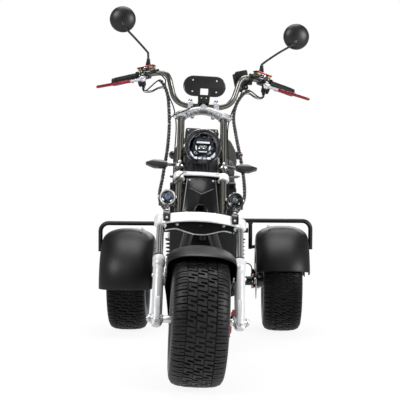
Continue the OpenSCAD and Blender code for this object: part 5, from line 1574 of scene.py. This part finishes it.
class TRIKE_OT_looms(Operator):
    """Build the spiral-wrapped looms and the thin cables that are clipped to the fork"""
    bl_idname = "trike.looms"
    bl_label = "Looms and cables"

    def execute(self, context):
        foot = LOWER[1]
        bar = fork_spot(0, -27, 910)
        piece = Piece("looms", "fork", BARS)
        for side, route in ((1, LOOM_LEFT), (-1, LOOM_RIGHT)):
            line = [bar + LOOM_START] + [Vector((x, y, z - FRONT_AXLE_Z)) for x, y, z in route]
            line = flowing(line + [fork_spot(118, 16, foot + 30)], 8) + [fork_spot(118, 16, foot + 0.5)]
            split = 5 * 8
            fade = [2.6] * (split - 6) + [2.6 + 0.53 * i for i in range(7)]
            piece.add(pipe(line, fade + [5.8] * (len(line) - len(fade)), 12), "rubber", sided(side))
            piece.add(self.wrap(line[split:], 5.8, 2.2, 13), "wrap_strip", sided(side))
        piece.done("cable_looms")
        self.cables(bar)
        return {"FINISHED"}

    def wrap(self, line, radius, wire, pitch):
        """A strip wound round a line."""
        coil_line, gone, side = [], 0.0, Vector((1, 0, 0))
        for a, b in zip(line, line[1:]):
            way = b - a
            side = (side - way * side.dot(way) / way.length_squared).normalized()
            up = way.normalized().cross(side)
            steps = max(1, round(way.length / pitch * 10))
            for i in range(steps):
                turn_by = math.tau * (gone + way.length * i / steps) / pitch
                coil_line.append(a + way * i / steps + radius * (math.cos(turn_by) * side
                                                                 + math.sin(turn_by) * up))
            gone += way.length
        return pipe(coil_line, wire, 5)

    def cables(self, bar):
        """Brake hoses and leads, each held at both ends."""
        piece = Piece("control_cables", "fork", BARS)
        for side in (-1, 1):
            master = bar + GRIP_START - 20 * GRIP_WAY + Vector((-6, -36, -2))
            dip = 1 if side > 0 else 0
            line = [master, master + Vector((-14, -2, -6)), master + Vector((-34, 8, -24)),
                    bar + Vector((150, 2, 74)), bar + Vector((132, -8, 26)), bar + Vector((112, -6, -18)),
                    fork_spot(100, 22, 840), fork_spot(103, 20, 700), fork_spot(104, 18, 560),
                    fork_spot(106, 14, 460), fork_spot(112, 6, foot_z())]
            piece.add(pipe(flowing(line, 6), 2.4, 8), "rubber", sided(side))
            pod = bar + GRIP_START + 38 * GRIP_WAY + Vector((-9, -10, -48))
            lead = [pod, pod + Vector((-10, -2, -9)), pod + Vector((-34, -6, -8)), pod + Vector((-60, -8, 6)),
                    bar + Vector((152, 14, 66 - 8 * dip)), bar + Vector((136, 10, 36))]
            piece.add(pipe(flowing(lead, 6), 2.0, 8), "rubber", sided(side))
            lead = [p + Vector((2, 6, -5)) for p in lead]
            piece.add(pipe(flowing(lead, 6), 1.7, 8), "rubber", sided(side))
        meter = [bar + Vector((8, 2, 30)), bar + Vector((-4, -18, 16)), bar + Vector((-30, -26, 2)),
                 bar + Vector((-62, -22, -18)), bar + Vector((-94, -12, -32)), bar + Vector((-116, -2, -44)),
                 bar + Vector((-128, 2, -58))]
        piece.add(pipe(flowing(meter, 6), 2.2, 8), "rubber")
        lamp = [fork_spot(-96, 8, 622), fork_spot(-84, -20, 617), fork_spot(-60, -30, 622),
                fork_spot(-44, -16, 650)]
        piece.add(pipe(flowing(lamp, 6), 2.0, 8), "rubber")
        lamp = [fork_spot(-112, 12, 560), fork_spot(-96, -18, 566), fork_spot(-78, -30, 580),
                fork_spot(-66, -27, 598)]
        piece.add(pipe(flowing(lamp, 6), 2.0, 8), "rubber")
        piece.done()


def foot_z():
    return LOWER[1] + 1


# ------------------------------------------------------------------ body, saddle and rear

SEAT_FRONT, SEAT_TOP = 770, 690


class TRIKE_OT_saddle(Operator):
    """Build the two-part padded saddle, its piping and the skirt under it"""
    bl_idname = "trike.saddle"
    bl_label = "Saddle"

    def execute(self, context):
        low = SEAT_TOP + 15
        seat = self.pad("saddle_seat", self.seat_shape(low), 0.024)
        back = self.pad("saddle_back", self.back_shape(low), 0.022)
        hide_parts("saddle_cushion")
        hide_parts("saddle_cushion")
        self.trim(low)
        return {"FINISHED"}

    def seat_shape(self, low):
        shape = slab([(-66, 748), (66, 748), (92, 800), (118, 920), (140, 1012), (134, 1074), (-134, 1074),
                      (-140, 1012), (-118, 920), (-92, 800)], low + 5, low + 62, 14, corner=24, segments=3)
        for vert in shape.verts:
            if vert.co.z > low + 30:
                back = min(max((vert.co.y - 760) / 300, 0), 1)
                vert.co.z += 16 * back * back - 9 * math.exp(-((vert.co.y - 905) / 70) ** 2)
                vert.co.x *= 0.93
        return shape

    def back_shape(self, low):
        shape = slab([(-140, 1082), (140, 1082), (148, 1120), (132, 1160), (84, 1176), (-84, 1176),
                      (-132, 1160),
                      (-148, 1120)], low + 6, low + 176, 16, corner=16, segments=3)
        bmesh.ops.bisect_plane(shape, geom=shape.verts[:] + shape.edges[:] + shape.faces[:], dist=0.01,
                               plane_co=(0, 0, low + 66), plane_no=(0, 0, 1))
        bmesh.ops.bisect_plane(shape, geom=shape.verts[:] + shape.edges[:] + shape.faces[:], dist=0.01,
                               plane_co=(0, 0, low + 120), plane_no=(0, 0, 1))
        for vert in shape.verts:
            up = (vert.co.z - low) / 170
            vert.co.x *= 1.0 - 0.8 * (up - 0.46) ** 2
            vert.co.y = 1130 + (vert.co.y - 1130) * (1 - 0.32 * up) + 16 * up
        return shape

    def pad(self, name, shape, cap):
        """Remeshes a shape, blows it up as cloth, keeps each point near its start, and smooths it."""
        bmesh.ops.transform(shape, matrix=CHASSIS, verts=shape.verts)
        bmesh.ops.triangulate(shape, faces=shape.faces)
        mesh = bpy.data.meshes.new(name)
        shape.to_mesh(mesh)
        shape.free()
        piece = bpy.data.objects.new(name, mesh)
        scene = bpy.context.scene
        scene.collection.objects.link(piece)
        remesh = piece.modifiers.new("remesh", "REMESH")
        remesh.mode, remesh.voxel_size = "VOXEL", 0.0055
        self.settle(piece, "remesh")
        start = [v.co.copy() for v in piece.data.vertices]
        cloth = piece.modifiers.new("cloth", "CLOTH")
        cloth.settings.use_pressure = True
        cloth.settings.uniform_pressure_force = 4.0
        cloth.settings.effector_weights.gravity = 0
        cloth.settings.tension_stiffness = cloth.settings.compression_stiffness = 18
        cloth.settings.bending_stiffness = 0.6
        scene.frame_start, scene.frame_end = 1, 20
        cloth.point_cache.frame_start, cloth.point_cache.frame_end = 1, 20
        for step in range(1, 21):
            scene.frame_set(step)
        self.settle(piece, "cloth")
        scene.frame_set(1)
        floor = min(p.z for p in start)
        for vert, home in zip(piece.data.vertices, start):
            away = vert.co - home
            if away.length > cap:
                away *= cap / away.length
            vert.co = home + away
            vert.co.z = max(vert.co.z, floor)
        soft = bmesh.new()
        soft.from_mesh(piece.data)
        for _ in range(3):
            bmesh.ops.smooth_vert(soft, verts=soft.verts, factor=0.5, use_axis_x=True, use_axis_y=True,
                                  use_axis_z=True)
        soft.to_mesh(piece.data)
        soft.free()
        for face in piece.data.polygons:
            face.use_smooth = True
        piece.data.materials.append(FINISHES["leather"])
        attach(piece, "saddle")
        return piece

    def settle(self, piece, modifier):
        """Applies a modifier to the mesh."""
        graph = bpy.context.evaluated_depsgraph_get()
        mesh = bpy.data.meshes.new_from_object(piece.evaluated_get(graph), depsgraph=graph)
        piece.modifiers.remove(piece.modifiers[modifier])
        piece.data = mesh

    def trim(self, low):
        """Piping round the foot of the seat, and the skirt it is pulled over."""
        piece = Piece("saddle_trim", "saddle", CHASSIS)
        outline = [(-66, 742), (66, 742), (98, 800), (124, 920), (147, 1012), (142, 1086), (130, 1150),
                   (-130, 1150),
                   (-142, 1086), (-147, 1012), (-124, 920), (-98, 800)]
        loop = flowing([(x, y, low + 5) for x, y in outline + outline[:1]], 5)
        piece.add(pipe(loop, 3.2, 10), "piping")
        skirt = slab(outline, low - 1, low + 5, 1.2, corner=14)
        piece.add(skirt, "leather")
        piece.done()


class TRIKE_OT_body(Operator):
    """Build the seat box, the foot board with its ribs, and the covers and bolts of the frame"""
    bl_idname = "trike.body"
    bl_label = "Body"

    def execute(self, context):
        self.seat_box()
        self.board()
        self.frame_details()
        return {"FINISHED"}

    def seat_box(self):
        piece = Piece("seat_box_body", "frame", CHASSIS)
        low, half = 288.6, 138
        side = [(low, 770), (low, 1096), (SEAT_TOP, 1096), (SEAT_TOP, 744), (SEAT_TOP - 30, 740),
                (SEAT_TOP - 170, 762)]
        upright = Matrix(((0, 0, 1, 0), (0, 1, 0, 0), (1, 0, 0, 0), (0, 0, 0, 1)))
        piece.add(slab(side, -half + 3, half - 3, 5, corner=10, segments=3), "body_gloss", upright)
        panel = [(low + 24, 794), (low + 24, 1072), (SEAT_TOP - 26, 1072), (SEAT_TOP - 26, 772),
                 (SEAT_TOP - 60, 768), (SEAT_TOP - 180, 784)]
        for s in (-1, 1):
            shape = slab(panel, s * (half - 3.2), s * (half - 0.2), 1.6, corner=12)
            piece.add(shape, "body_gloss", upright)
            for i in range(5):
                y = 850 + 34 * i
                vent = slab([(low + 60, y), (low + 150, y + 26), (low + 150, y + 38), (low + 60, y + 12)],
                            s * (half - 0.6), s * (half + 1.4), 0.8, corner=3)
                piece.add(vent, "dark_plastic", upright)
            for z, y in ((low + 34, 806), (low + 34, 1060), (SEAT_TOP - 38, 1060), (SEAT_TOP - 42, 786)):
                piece.add(bolt(5, 3), "steel", at(s * (half - 0.4), y, z) @ turn("Y", 90 * s))
        door = slab([(-96, low + 30), (96, low + 30), (96, low + 190), (-96, low + 190)], 0, 3, 1.4,
                    corner=12)
        piece.add(door, "body_gloss", at(0, 767.6, 0) @ FORWARD)
        lock = [(0, 0), (11, 0), (12, 1), (12, 4), (10, 5.5), (4, 5.5), (3.4, 4.6), (0, 4.6)]
        piece.add(spun(lock, 28), "gloss_black", at(0, 765, low + 172) @ FORWARD)
        rear = slab([(-110, low + 40), (110, low + 40), (110, SEAT_TOP - 40), (-110, SEAT_TOP - 40)], 0, 3,
                    1.4,
                    corner=14)
        piece.add(rear, "body_gloss", at(0, 1095.4, 0) @ turn("X", -90) @ Matrix.Scale(-1, 4, (0, 1, 0)))
        hinge = at(0, 733, SEAT_TOP - 4) @ ALONG_X
        pin = [(0, -40), (2.4, -40), (3, -39), (3, 39), (2.4, 40), (0, 40)]
        piece.add(spun(pin, 16), "steel", hinge)
        for s in (-1, 1):
            piece.add(spun([(0, 31), (4.4, 31), (5, 32), (5, 38), (4.4, 39), (0, 39)], 20), "frame_paint",
                      hinge @ Matrix.Diagonal((1, 1, s, 1)))
            piece.add(brick((s * 35 - 4, 734, SEAT_TOP - 8), (s * 35 + 4, 748, SEAT_TOP - 0.4), 1.2),
                      "frame_paint")
        piece.done("seat_box")

    def board(self):
        piece = Piece("foot_board_deck", "frame", CHASSIS)
        front, back, half = 524, SEAT_FRONT - 4, 165
        top = 304
        deck = slab([(-half, front), (half, front), (half, back), (-half, back)], 288.6, top - 2, 2.5,
                    corner=40)
        piece.add(deck, "dark_plastic")
        for s in (-1, 1):
            mat = slab([(s * 14, front + 14), (s * 150, front + 14), (s * 150, back - 12),
                        (s * 14, back - 12)],
                       top - 2.4, top - 0.8, 0.6, corner=14)
            piece.add(mat, "rubber")
            for i in range(15):
                y = front + 27 + i * 14
                if y < back - 20:
                    piece.add(brick((s * 82 - 58, y, top - 1.2), (s * 82 + 58, y + 5, top - 0.02), 0.5, 1),
                              "rubber")
        for x in (-154, 154):
            for y in (front + 34, back - 34):
                piece.add(bolt(6, 3), "steel", at(x, y, top - 2.6))
        piece.done("foot_board")

    def frame_details(self):
        """Weld beads, gussets, bolts and leads on the carried-over tubes, and the steering head's cups."""
        piece = Piece("frame_details", "frame", CHASSIS)
        axle_z = FRONT_AXLE_Z
        head_low = fork_spot(0, STEM_Y, LOWER[1] + 8) + Vector((0, 0, axle_z))
        head_high = fork_spot(0, STEM_Y, MIDDLE[0] - 8) + Vector((0, 0, axle_z))
        lean = turn("X", -35)
        for spot, flip in ((head_low, 1), (head_high, -1)):
            cup = [(25.5, -1.6), (28.5, -1), (29.5, 1), (29.5, 7), (28, 9), (26.2, 10), (25.5, -1.6)]
            piece.add(spun(cup, 40), "steel", Matrix.Translation(spot) @ lean
                      @ Matrix.Diagonal((1, 1, flip, 1)))
        neck = (head_low + head_high) / 2
        for s in (-1, 1):
            start, end = neck + Vector((s * 12, 0, 0)), Vector((s * 112, 500, 280))
            way = (end - start).normalized()
            spin = Vector((0, 0, 1)).rotation_difference(way).to_matrix().to_4x4()
            bead = [(19, -2), (21.4, -1.2), (22, 0.5), (20.6, 2.6), (19, 3), (19, -2)]
            piece.add(spun(bead, 28), "weld", Matrix.Translation(end - way * 10) @ spin)
            gusset = slab([(0, 0), (70, -16), (0, -44)], -2.5, 2.5, 1)
            place = Matrix.Translation(start + way * 26) @ Matrix(((0, 0, 1, 0), (1, 0, 0, 0), (0, 1, 0, 0),
                                                                   (0, 0, 0, 1)))
            piece.add(gusset, "frame_paint", place)
            for y in (700, 900, 1090):
                ring = [(15.6, -4), (17.4, -3.6), (17.4, 3.6), (15.6, 4), (15.6, -4)]
                piece.add(spun(ring, 24), "rubber", at(s * 120, y, 272) @ turn("X", 90))
            for z in (448, 552, 700):
                ring = [(13.6, -2), (15.8, -1), (15.8, 1.4), (13.6, 2.6), (13.6, -2)]
                piece.add(spun(ring, 24), "weld", at(s * 105, 1285, z))
            piece.add(bolt(7, 5), "steel", at(s * 105, 1285, 770))
            peg = [(0, 0), (13, 0), (14, 2), (14, 4), (10, 6), (10, 18), (12, 20), (12, 24), (0, 24)]
            piece.add(spun(peg, 24), "steel", at(s * 122, 1040, 272) @ turn("Y", 90 * s))
        lead = [(-96, 1000, 250), (-100, 1120, 262), (-94, 1210, 300), (-92, 1272, 380), (-92, 1274, 540),
                (-90, 1276, 700), (-60, 1300, 742), (-30, 1350, 756)]
        piece.add(pipe(flowing(lead, 6), 3.2, 10), "rubber")
        piece.done()


class TRIKE_OT_rear(Operator):
    """Build the axle's fins and bolts, the dampers, the calipers, the rack, and the rear lamps"""
    bl_idname = "trike.rear"
    bl_label = "Rear"

    def execute(self, context):
        self.axle()
        self.dampers()
        self.calipers()
        self.tail()
        return {"FINISHED"}

    def axle(self):
        place = Matrix.Translation((0, REAR_AXLE.y, REAR_AXLE.z)) @ Matrix.Scale(MM, 4)
        piece = Piece("rear_axle_motor", "frame", place)
        wheel = 350          # from the middle of the vehicle to the middle of a rear wheel
        end = wheel - 88 - 30 - 6
        tube = [(0, -end), (33, -end), (34, -end + 1), (34, -end + 5), (33, -end + 6), (21, -end + 8),
                (21, -60), (34, -56), (60, -54), (74, -52), (76, -50)]
        for x in (-40, -20, 0, 20, 40):
            tube += [(76, x - 4), (82, x - 3), (82, x + 3), (76, x + 4)]
        tube += [(r, -z) for r, z in reversed(tube[:11])]
        piece.add(spun(tube, 64), "frame_paint", ALONG_X)
        for s in (-1, 1):
            spindle = [(14, end - 1), (14, wheel + 62), (13, wheel + 63.5), (0, wheel + 63.5)]
            piece.add(spun([(0, end - 1)] + spindle, 32), "steel", sided(s) @ ALONG_X)
            piece.add(nut(18, 9, 2), "steel", sided(s) @ at(wheel + 59, 0, 0) @ ALONG_X @ at(0, 0, -1.5))
            piece.add(brick((160 - 14, -22, 15), (160 + 14, 12, 33), 3), "frame_paint", sided(s))
            for i in range(6):
                a = math.tau * i / 6
                piece.add(bolt(5, 4), "steel", sided(s) @ ALONG_X @ turn("Z", 60 * i) @ at(62, 0, 53.6))
                piece.add(bolt(4, 3), "steel", sided(s) @ at(end - 6.4, 27.5 * math.cos(a),
                                                             27.5 * math.sin(a))
                          @ turn("Y", -90))
            hose = [(s * 216, 60, 26), (s * 214, 80, 60), (s * 190, 70, 74), (s * 160, 34, 60),
                    (s * 120, 26, 34),
                    (s * 60, 30, 84), (s * 30, 10, 96)]
            piece.add(pipe(flowing(hose, 6), 2.6, 8), "rubber")
        piece.done("rear_axle")
        arms = Piece("swing_arm_details", "frame", CHASSIS)
        boss = [(0, -18), (18, -18), (19, -17), (19, 17), (18, 18), (0, 18)]
        for arm in (-80, 80):
            arms.add(spun(boss, 32), "frame_paint", at(arm, 1040, 272) @ ALONG_X)
            for z in (-14, 16):
                arms.add(bolt(6, 5), "steel", at(arm, 1263, 228 + z) @ FORWARD)
            arms.add(pipe([(arm, 1045, 252), (arm, 1150, 238), (arm, 1245, 232)], 4, 10), "frame_paint")
        arms.done()

    def dampers(self):
        place = Matrix.Translation((0, REAR_AXLE.y - 0.009, 0)) @ Matrix.Scale(MM, 4)
        piece = Piece("rear_dampers", "frame", place)
        low, top = 228 + 33.3, 461 - 11.3
        for s in (-1, 1):
            x = s * 160
            body = [(0, low), (12, low), (13, low + 2), (13, low + 8), (9, low + 10), (9, low + 12),
                    (24, low + 13),
                    (25, low + 15), (25, low + 18), (22, low + 19), (15, low + 19), (15, low + 90),
                    (5, low + 92),
                    (5, top - 34), (22, top - 34), (25, top - 32), (25, top - 29), (23, top - 27),
                    (10, top - 26),
                    (10, top - 10), (0, top - 10)]
            piece.add(spun(body, 36), "gloss_black", at(x, 0, 0))
            piece.add(coil(18, 3.6, low + 21, top - 36, 7.5, 10), "gloss_black", at(x, 0, 0))
            eye = [(5, -9), (12, -9), (13, -8), (13, 8), (12, 9), (5, 9), (5, -9)]
            piece.add(spun(eye, 28), "silver_cast", at(x, -6, top - 13.2) @ turn("X", 90))
            piece.add(bolt(6, 4), "steel", at(x, -15, top - 13.2) @ FORWARD)
        piece.done("rear_shocks")

    def caliper(self, piece, disc, reach, width, place):
        """A cast body over the disc's edge, with its pistons' caps and bridge bolts."""
        inner, outer = 54, reach
        outline = arc(0, 0, outer, -27, 27, 10) + arc(0, 0, inner, 27, -27, 8)
        for low, high in ((disc - (width - 4) / 2, disc - 5), (disc + 9, disc + 4 + (width - 4) / 2)):
            half = slab([(y, z) for y, z in outline], low, high, 2.5, corner=5)
            piece.add(half, "caliper_red", place)
            out = high if low > disc else low
            for angle in (-14, 14):
                a = math.radians(angle)
                cap = [(0, 0), (12, 0), (13, 1), (13, 2), (9, 3), (8, 2), (0, 2)]
                spot = at(72 * math.cos(a), 72 * math.sin(a), out)
                flip = Matrix() if low > disc else Matrix.Diagonal((1, 1, -1, 1))
                piece.add(spun(cap, 28), "gloss_black", place @ spot @ flip @ at(0, 0, -0.4))
        crown_line = arc(0, 0, outer, -24, 24, 8) + arc(0, 0, outer - 8, 24, -24, 8)
        piece.add(slab(crown_line, disc - 5.5, disc + 9.5, 1), "caliper_red", place)
        for angle in (-22, 22):
            a = math.radians(angle)
            piece.add(bolt(4.5, 3.5), "steel", place @ at((outer - 7) * math.cos(a),
                                                          (outer - 7) * math.sin(a),
                                                          disc + 4 + (width - 4) / 2 - 0.3))

    def calipers(self):
        sideways = Matrix(((0, 0, 1, 0), (1, 0, 0, 0), (0, 1, 0, 0), (0, 0, 0, 1)))
        for s in (-1, 1):
            piece = Piece("rear_caliper_" + ("left" if s > 0 else "right"), "frame", rear_place(s))
            self.caliper(piece, -118, 106, 40, sideways)
            bracket = slab([(34.3, -16), (62, -18), (66, 0), (60, 30), (48, 52), (40, 40), (34.3, 18)], -136,
                           -123.6,
                           2)
            piece.add(bracket, "frame_paint", sideways)
            for y, z in ((44, -6), (54, 18)):
                piece.add(bolt(5, 4), "steel", at(-136, y, z) @ turn("Y", -90))
            piece.done()
        for name in ("rear_caliper_left", "rear_caliper_right"):
            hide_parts("rear_calipers")
        piece = Piece("front_caliper_body", "fork", FORK)
        self.caliper(piece, 100.1, 104, 34, turn("X", 20) @ sideways)
        bracket = slab([(-8, 24), (12, 22), (50, 26), (70, 34), (68, 47), (30, 48), (-8, 46)], 117.4, 124.6,
                       1.6)
        piece.add(bracket, "caliper_red", sideways)
        for y, z in ((2, 35), (56, 38)):
            piece.add(bolt(5, 4), "steel", at(117.4, y, z) @ turn("Y", -90))
        hose = [(112, 30, 108), (122, 34, 150), (126, 30, 200), (126, 26, 280), (122, 24, 350),
                (119, 16, 372)]
        piece.add(pipe(flowing(hose, 6), 2.6, 8), "rubber")
        piece.done("front_caliper")

    def tail(self):
        rack_z = 770.3
        mid, back = 1300 + 62, 1300 + 62 + 95
        lamp = Piece("tail_lamp_unit", "frame", CHASSIS)
        shell = slab([(-60, -18), (60, -18), (60, 10), (-60, 10)], rack_z - 38, rack_z - 0.6, 2, corner=8)
        lamp.add(shell, "gloss_black", at(0, back - 22, 0))
        lens = slab([(-56, 8), (56, 8), (56, 18), (-56, 18)], rack_z - 35, rack_z - 4, 3, corner=6,
                    segments=3)
        lamp.add(lens, "red_lens", at(0, back - 22, 0))
        for i in range(9):
            rib = brick((-50 + i * 11.6, 16, rack_z - 32), (-44 + i * 11.6, 19, rack_z - 7), 1.2)
            lamp.add(rib, "red_lens", at(0, back - 22.4, 0))
        lamp.done("tail_lamp")
        side = Piece("rear_indicator_pair", "frame", CHASSIS @ at(0, 1315, rack_z + 30))
        for s in (-1, 1):
            side.add(pipe([(s * 121.6, 0, -27), (s * 132, 0, -16), (s * 143, 0, -4)], 5.2, 14), "rubber")
            can = [(0, -15), (12, -14), (18, -9), (20, -3), (20, 13), (19, 15), (17.5, 15.6), (0, 15.6)]
            side.add(spun(can, 32), "gloss_black", at(s * 150, 6, 4) @ turn("X", -90))
            lens = [(0, 21), (8, 20.4), (14, 18.4), (17.2, 15.6), (0, 15)]
            side.add(spun(lens, 32), "amber_lens", at(s * 150, 6, 4) @ turn("X", -90) @ at(0, 0, -3))
            edge = slab(arc(0, 0, 20.4, -50, 50, 10) + arc(0, 0, 16.5, 50, -50, 10), 5, 13.8, 0.8)
            side.add(edge, "red_lens", at(s * 150, 6, 4) @ FORWARD @ turn("Y", 0 if s > 0 else 180))
        side.done("rear_indicators")
        rack = Piece("rack_details", "frame", CHASSIS)
        for i in range(7):
            x = -78 + 26 * i
            rack.add(brick((x - 4, mid - 76, rack_z + 5.6), (x + 4, mid + 78, rack_z + 8.4), 1.2), "rubber")
        for x in (-86, 86):
            for y in (mid - 76, mid + 70):
                rack.add(bolt(6, 3), "steel", at(x, y, rack_z + 5.8))
        plate_y = mid + 85
        rack.add(slab([(-84, 562), (84, 562), (84, 680), (-84, 680)], -5.2, -3.6, 0.6, corner=5),
                 "plate_blank",
                 at(0, plate_y, 0) @ FORWARD)
        for x in (-50, 50):
            rack.add(bolt(5, 3), "steel", at(x, plate_y + 5, 664) @ turn("X", -90))
        rack.done()


# ------------------------------------------------------------------ settings

class TrikeColours(PropertyGroup):
    """Colours that a user would change."""
    fender: FloatVectorProperty(name="Fenders", description="Colour of the fenders", subtype="COLOR",
                                size=3, min=0, max=1, default=(0.005, 0.005, 0.0053))
    castings: FloatVectorProperty(name="Castings", description="Colour of the yokes and fork legs",
                                  subtype="COLOR", size=3, min=0, max=1, default=(0.8, 0.81, 0.83))
    accents: FloatVectorProperty(name="Accents", description="Colour of the levers and calipers",
                                 subtype="COLOR", size=3, min=0, max=1, default=(0.275, 0.0112, 0.028))


class TrikeSizes(PropertyGroup):
    """Sizes that a user would change."""
    lens: FloatProperty(name="Lens", description="Focal length of the camera", unit="CAMERA", default=100.4)
    tread: FloatProperty(name="Tread depth", description="Depth of the tyres' tread in millimetres",
                         default=6.5, min=2, max=8)


class TRIKE_OT_finishes(Operator):
    """Make the finishes and dress the carried-over pieces"""
    bl_idname = "trike.finishes"
    bl_label = "Finishes"

    def execute(self, context):
        make_finishes(context.scene.trike_colours)
        dress("frame_paint", "main_frame", "rear_rack", "swing_arm", "belly_tray", "plate_holder")
        dress("dark_plastic", "saddle_pan")
        dress("smoke_chrome", "fork_tubes")
        dress("chrome", "fork_stanchions")
        return {"FINISHED"}


# ------------------------------------------------------------------ stage

class TRIKE_OT_stage(Operator):
    """Set up the floor, the lights, the surroundings and the camera"""
    bl_idname = "trike.stage"
    bl_label = "Stage"

    def execute(self, context):
        scene = context.scene
        scene.view_settings.view_transform = "Standard"
        self.camera(scene)
        self.floor(scene)
        self.surroundings(scene)
        self.lights(scene)
        return {"FINISHED"}

    def camera(self, scene):
        pan, pitch, roll = (math.radians(a) for a in (-1.41, 2.05, -0.29))
        ahead = Vector((math.sin(pan) * math.cos(pitch), math.cos(pan) * math.cos(pitch), -math.sin(pitch)))
        right = ahead.cross(Vector((0, 0, 1))).normalized()
        down = ahead.cross(right)
        across = right * math.cos(roll) + down * math.sin(roll)
        up = across.cross(ahead)
        data = bpy.data.cameras.new("camera")
        data.lens = scene.trike_sizes.lens
        data.sensor_width = 36
        data.clip_end = 100
        camera = bpy.data.objects.new("camera", data)
        camera.matrix_world = (Matrix.Translation((0.1012, AXLE_POINT.y - 3.8245, 0.7818))
                               @ Matrix((across, up, -ahead)).transposed().to_4x4())
        scene.collection.objects.link(camera)
        scene.camera = camera

    def floor(self, scene):
        f = Finish("floor")
        plain = f.node("ShaderNodeEmission", {}, {"Color": grey(1.0), "Strength": 1.0})
        matt = f.node("ShaderNodeBsdfDiffuse", {}, {"Color": grey(0.9)})
        path = f.tree.nodes.new("ShaderNodeLightPath").outputs
        seen = Socket(f, path["Is Camera Ray"]) + Socket(f, path["Is Glossy Ray"])
        seen = seen + Socket(f, path["Is Transmission Ray"])
        away = f.node("ShaderNodeVectorMath", {"operation": "LENGTH"}, [f.coords], out="Value").above(0.7,
                1.6)
        mixed = f.node("ShaderNodeMixShader", {}, [seen * (away * 0.1 + 0.9), matt, plain])
        f.tree.links.new(mixed.socket, f.output.inputs[0])
        bm = bmesh.new()
        bmesh.ops.create_grid(bm, x_segments=1, y_segments=1, size=30)
        mesh = bpy.data.meshes.new("floor")
        bm.to_mesh(mesh)
        bm.free()
        mesh.materials.append(f.material)
        floor = bpy.data.objects.new("floor", mesh)
        scene.collection.objects.link(floor)

    def surroundings(self, scene):
        """White for the camera; for reflections a room with a bright middle, dark flanks and bright sides."""
        scene.world = bpy.data.worlds.new("studio")
        f = Surroundings(scene.world)
        split = f.tree.nodes.new("ShaderNodeSeparateXYZ")
        f.feed(split.inputs[0], f.coords)
        across = Socket(f, split.outputs["X"]).maths("ABSOLUTE", Socket(f, split.outputs["X"]))
        along = Socket(f, split.outputs["Y"]) * 0.5 + 0.5
        bands = f.node("ShaderNodeValToRGB", {"stops": [
            (0.0, grey(1.0)), (0.22, grey(0.9)), (0.32, grey(0.1)), (0.6, grey(0.1)), (0.8, grey(1.0))]},
            [across])
        front = f.node("ShaderNodeValToRGB", {"stops": [(0.04, grey(0.12)), (0.32, grey(1.0))]}, [along])
        tone = f.node("ShaderNodeMix", {"data_type": "RGBA", "blend_type": "MULTIPLY"},
                      {0: 1.0, 6: bands, 7: front},
                      out=2)
        room = f.node("ShaderNodeBackground", {}, {"Color": tone, "Strength": 0.6})
        white = f.node("ShaderNodeBackground", {}, {"Color": grey(1.0), "Strength": 1.0})
        seen = f.node("ShaderNodeLightPath", out="Is Camera Ray")
        f.feed(f.output.inputs[0], f.node("ShaderNodeMixShader", {}, [seen, room, white]))

    def lights(self, scene):
        target = Vector((0, 0, 0.6))
        for name, spot, size, power in (
                ("key", (-2.4, -3.0, 3.4), 1.5, 110), ("fill", (3.0, -2.6, 2.0), 1.6, 130),
                ("top", (0.0, 0.4, 4.2), 2.6, 110), ("back", (0.5, 4.0, 2.6), 2.4, 60)):
            data = bpy.data.lights.new(name, "AREA")
            data.shape, data.size, data.energy = "SQUARE", size, power
            lamp = bpy.data.objects.new(name, data)
            lamp.location = spot
            lamp.rotation_euler = (target - Vector(spot)).to_track_quat("-Z", "Y").to_euler()
            scene.collection.objects.link(lamp)


class TRIKE_PT_panel(Panel):
    """Lists the pieces in the sidebar"""
    bl_idname = "TRIKE_PT_panel"
    bl_label = "Motorized trike"
    bl_space_type = "VIEW_3D"
    bl_region_type = "UI"
    bl_category = "Trike"

    def draw(self, context):
        for group in (context.scene.trike_sizes, context.scene.trike_colours):
            for name in group.__annotations__:
                self.layout.prop(group, name)
        for operator in OPERATORS:
            self.layout.operator(operator.bl_idname)


OPERATORS = (TRIKE_OT_stage, TRIKE_OT_finishes, TRIKE_OT_wheels, TRIKE_OT_yokes, TRIKE_OT_fork_legs,
             TRIKE_OT_fenders, TRIKE_OT_lamps, TRIKE_OT_handlebar, TRIKE_OT_controls, TRIKE_OT_mirrors,
             TRIKE_OT_looms, TRIKE_OT_saddle, TRIKE_OT_body, TRIKE_OT_rear)
CLASSES = (TrikeColours, TrikeSizes, *OPERATORS, TRIKE_PT_panel)


def register():
    for cls in CLASSES:
        bpy.utils.register_class(cls)
    bpy.types.Scene.trike_colours = PointerProperty(type=TrikeColours)
    bpy.types.Scene.trike_sizes = PointerProperty(type=TrikeSizes)


def unregister():
    del bpy.types.Scene.trike_sizes, bpy.types.Scene.trike_colours
    for cls in reversed(CLASSES):
        bpy.utils.unregister_class(cls)


def main():
    register()
    for operator in OPERATORS:
        group, name = operator.bl_idname.split(".")
        getattr(getattr(bpy.ops, group), name)()


if __name__ == "__main__":
    main()
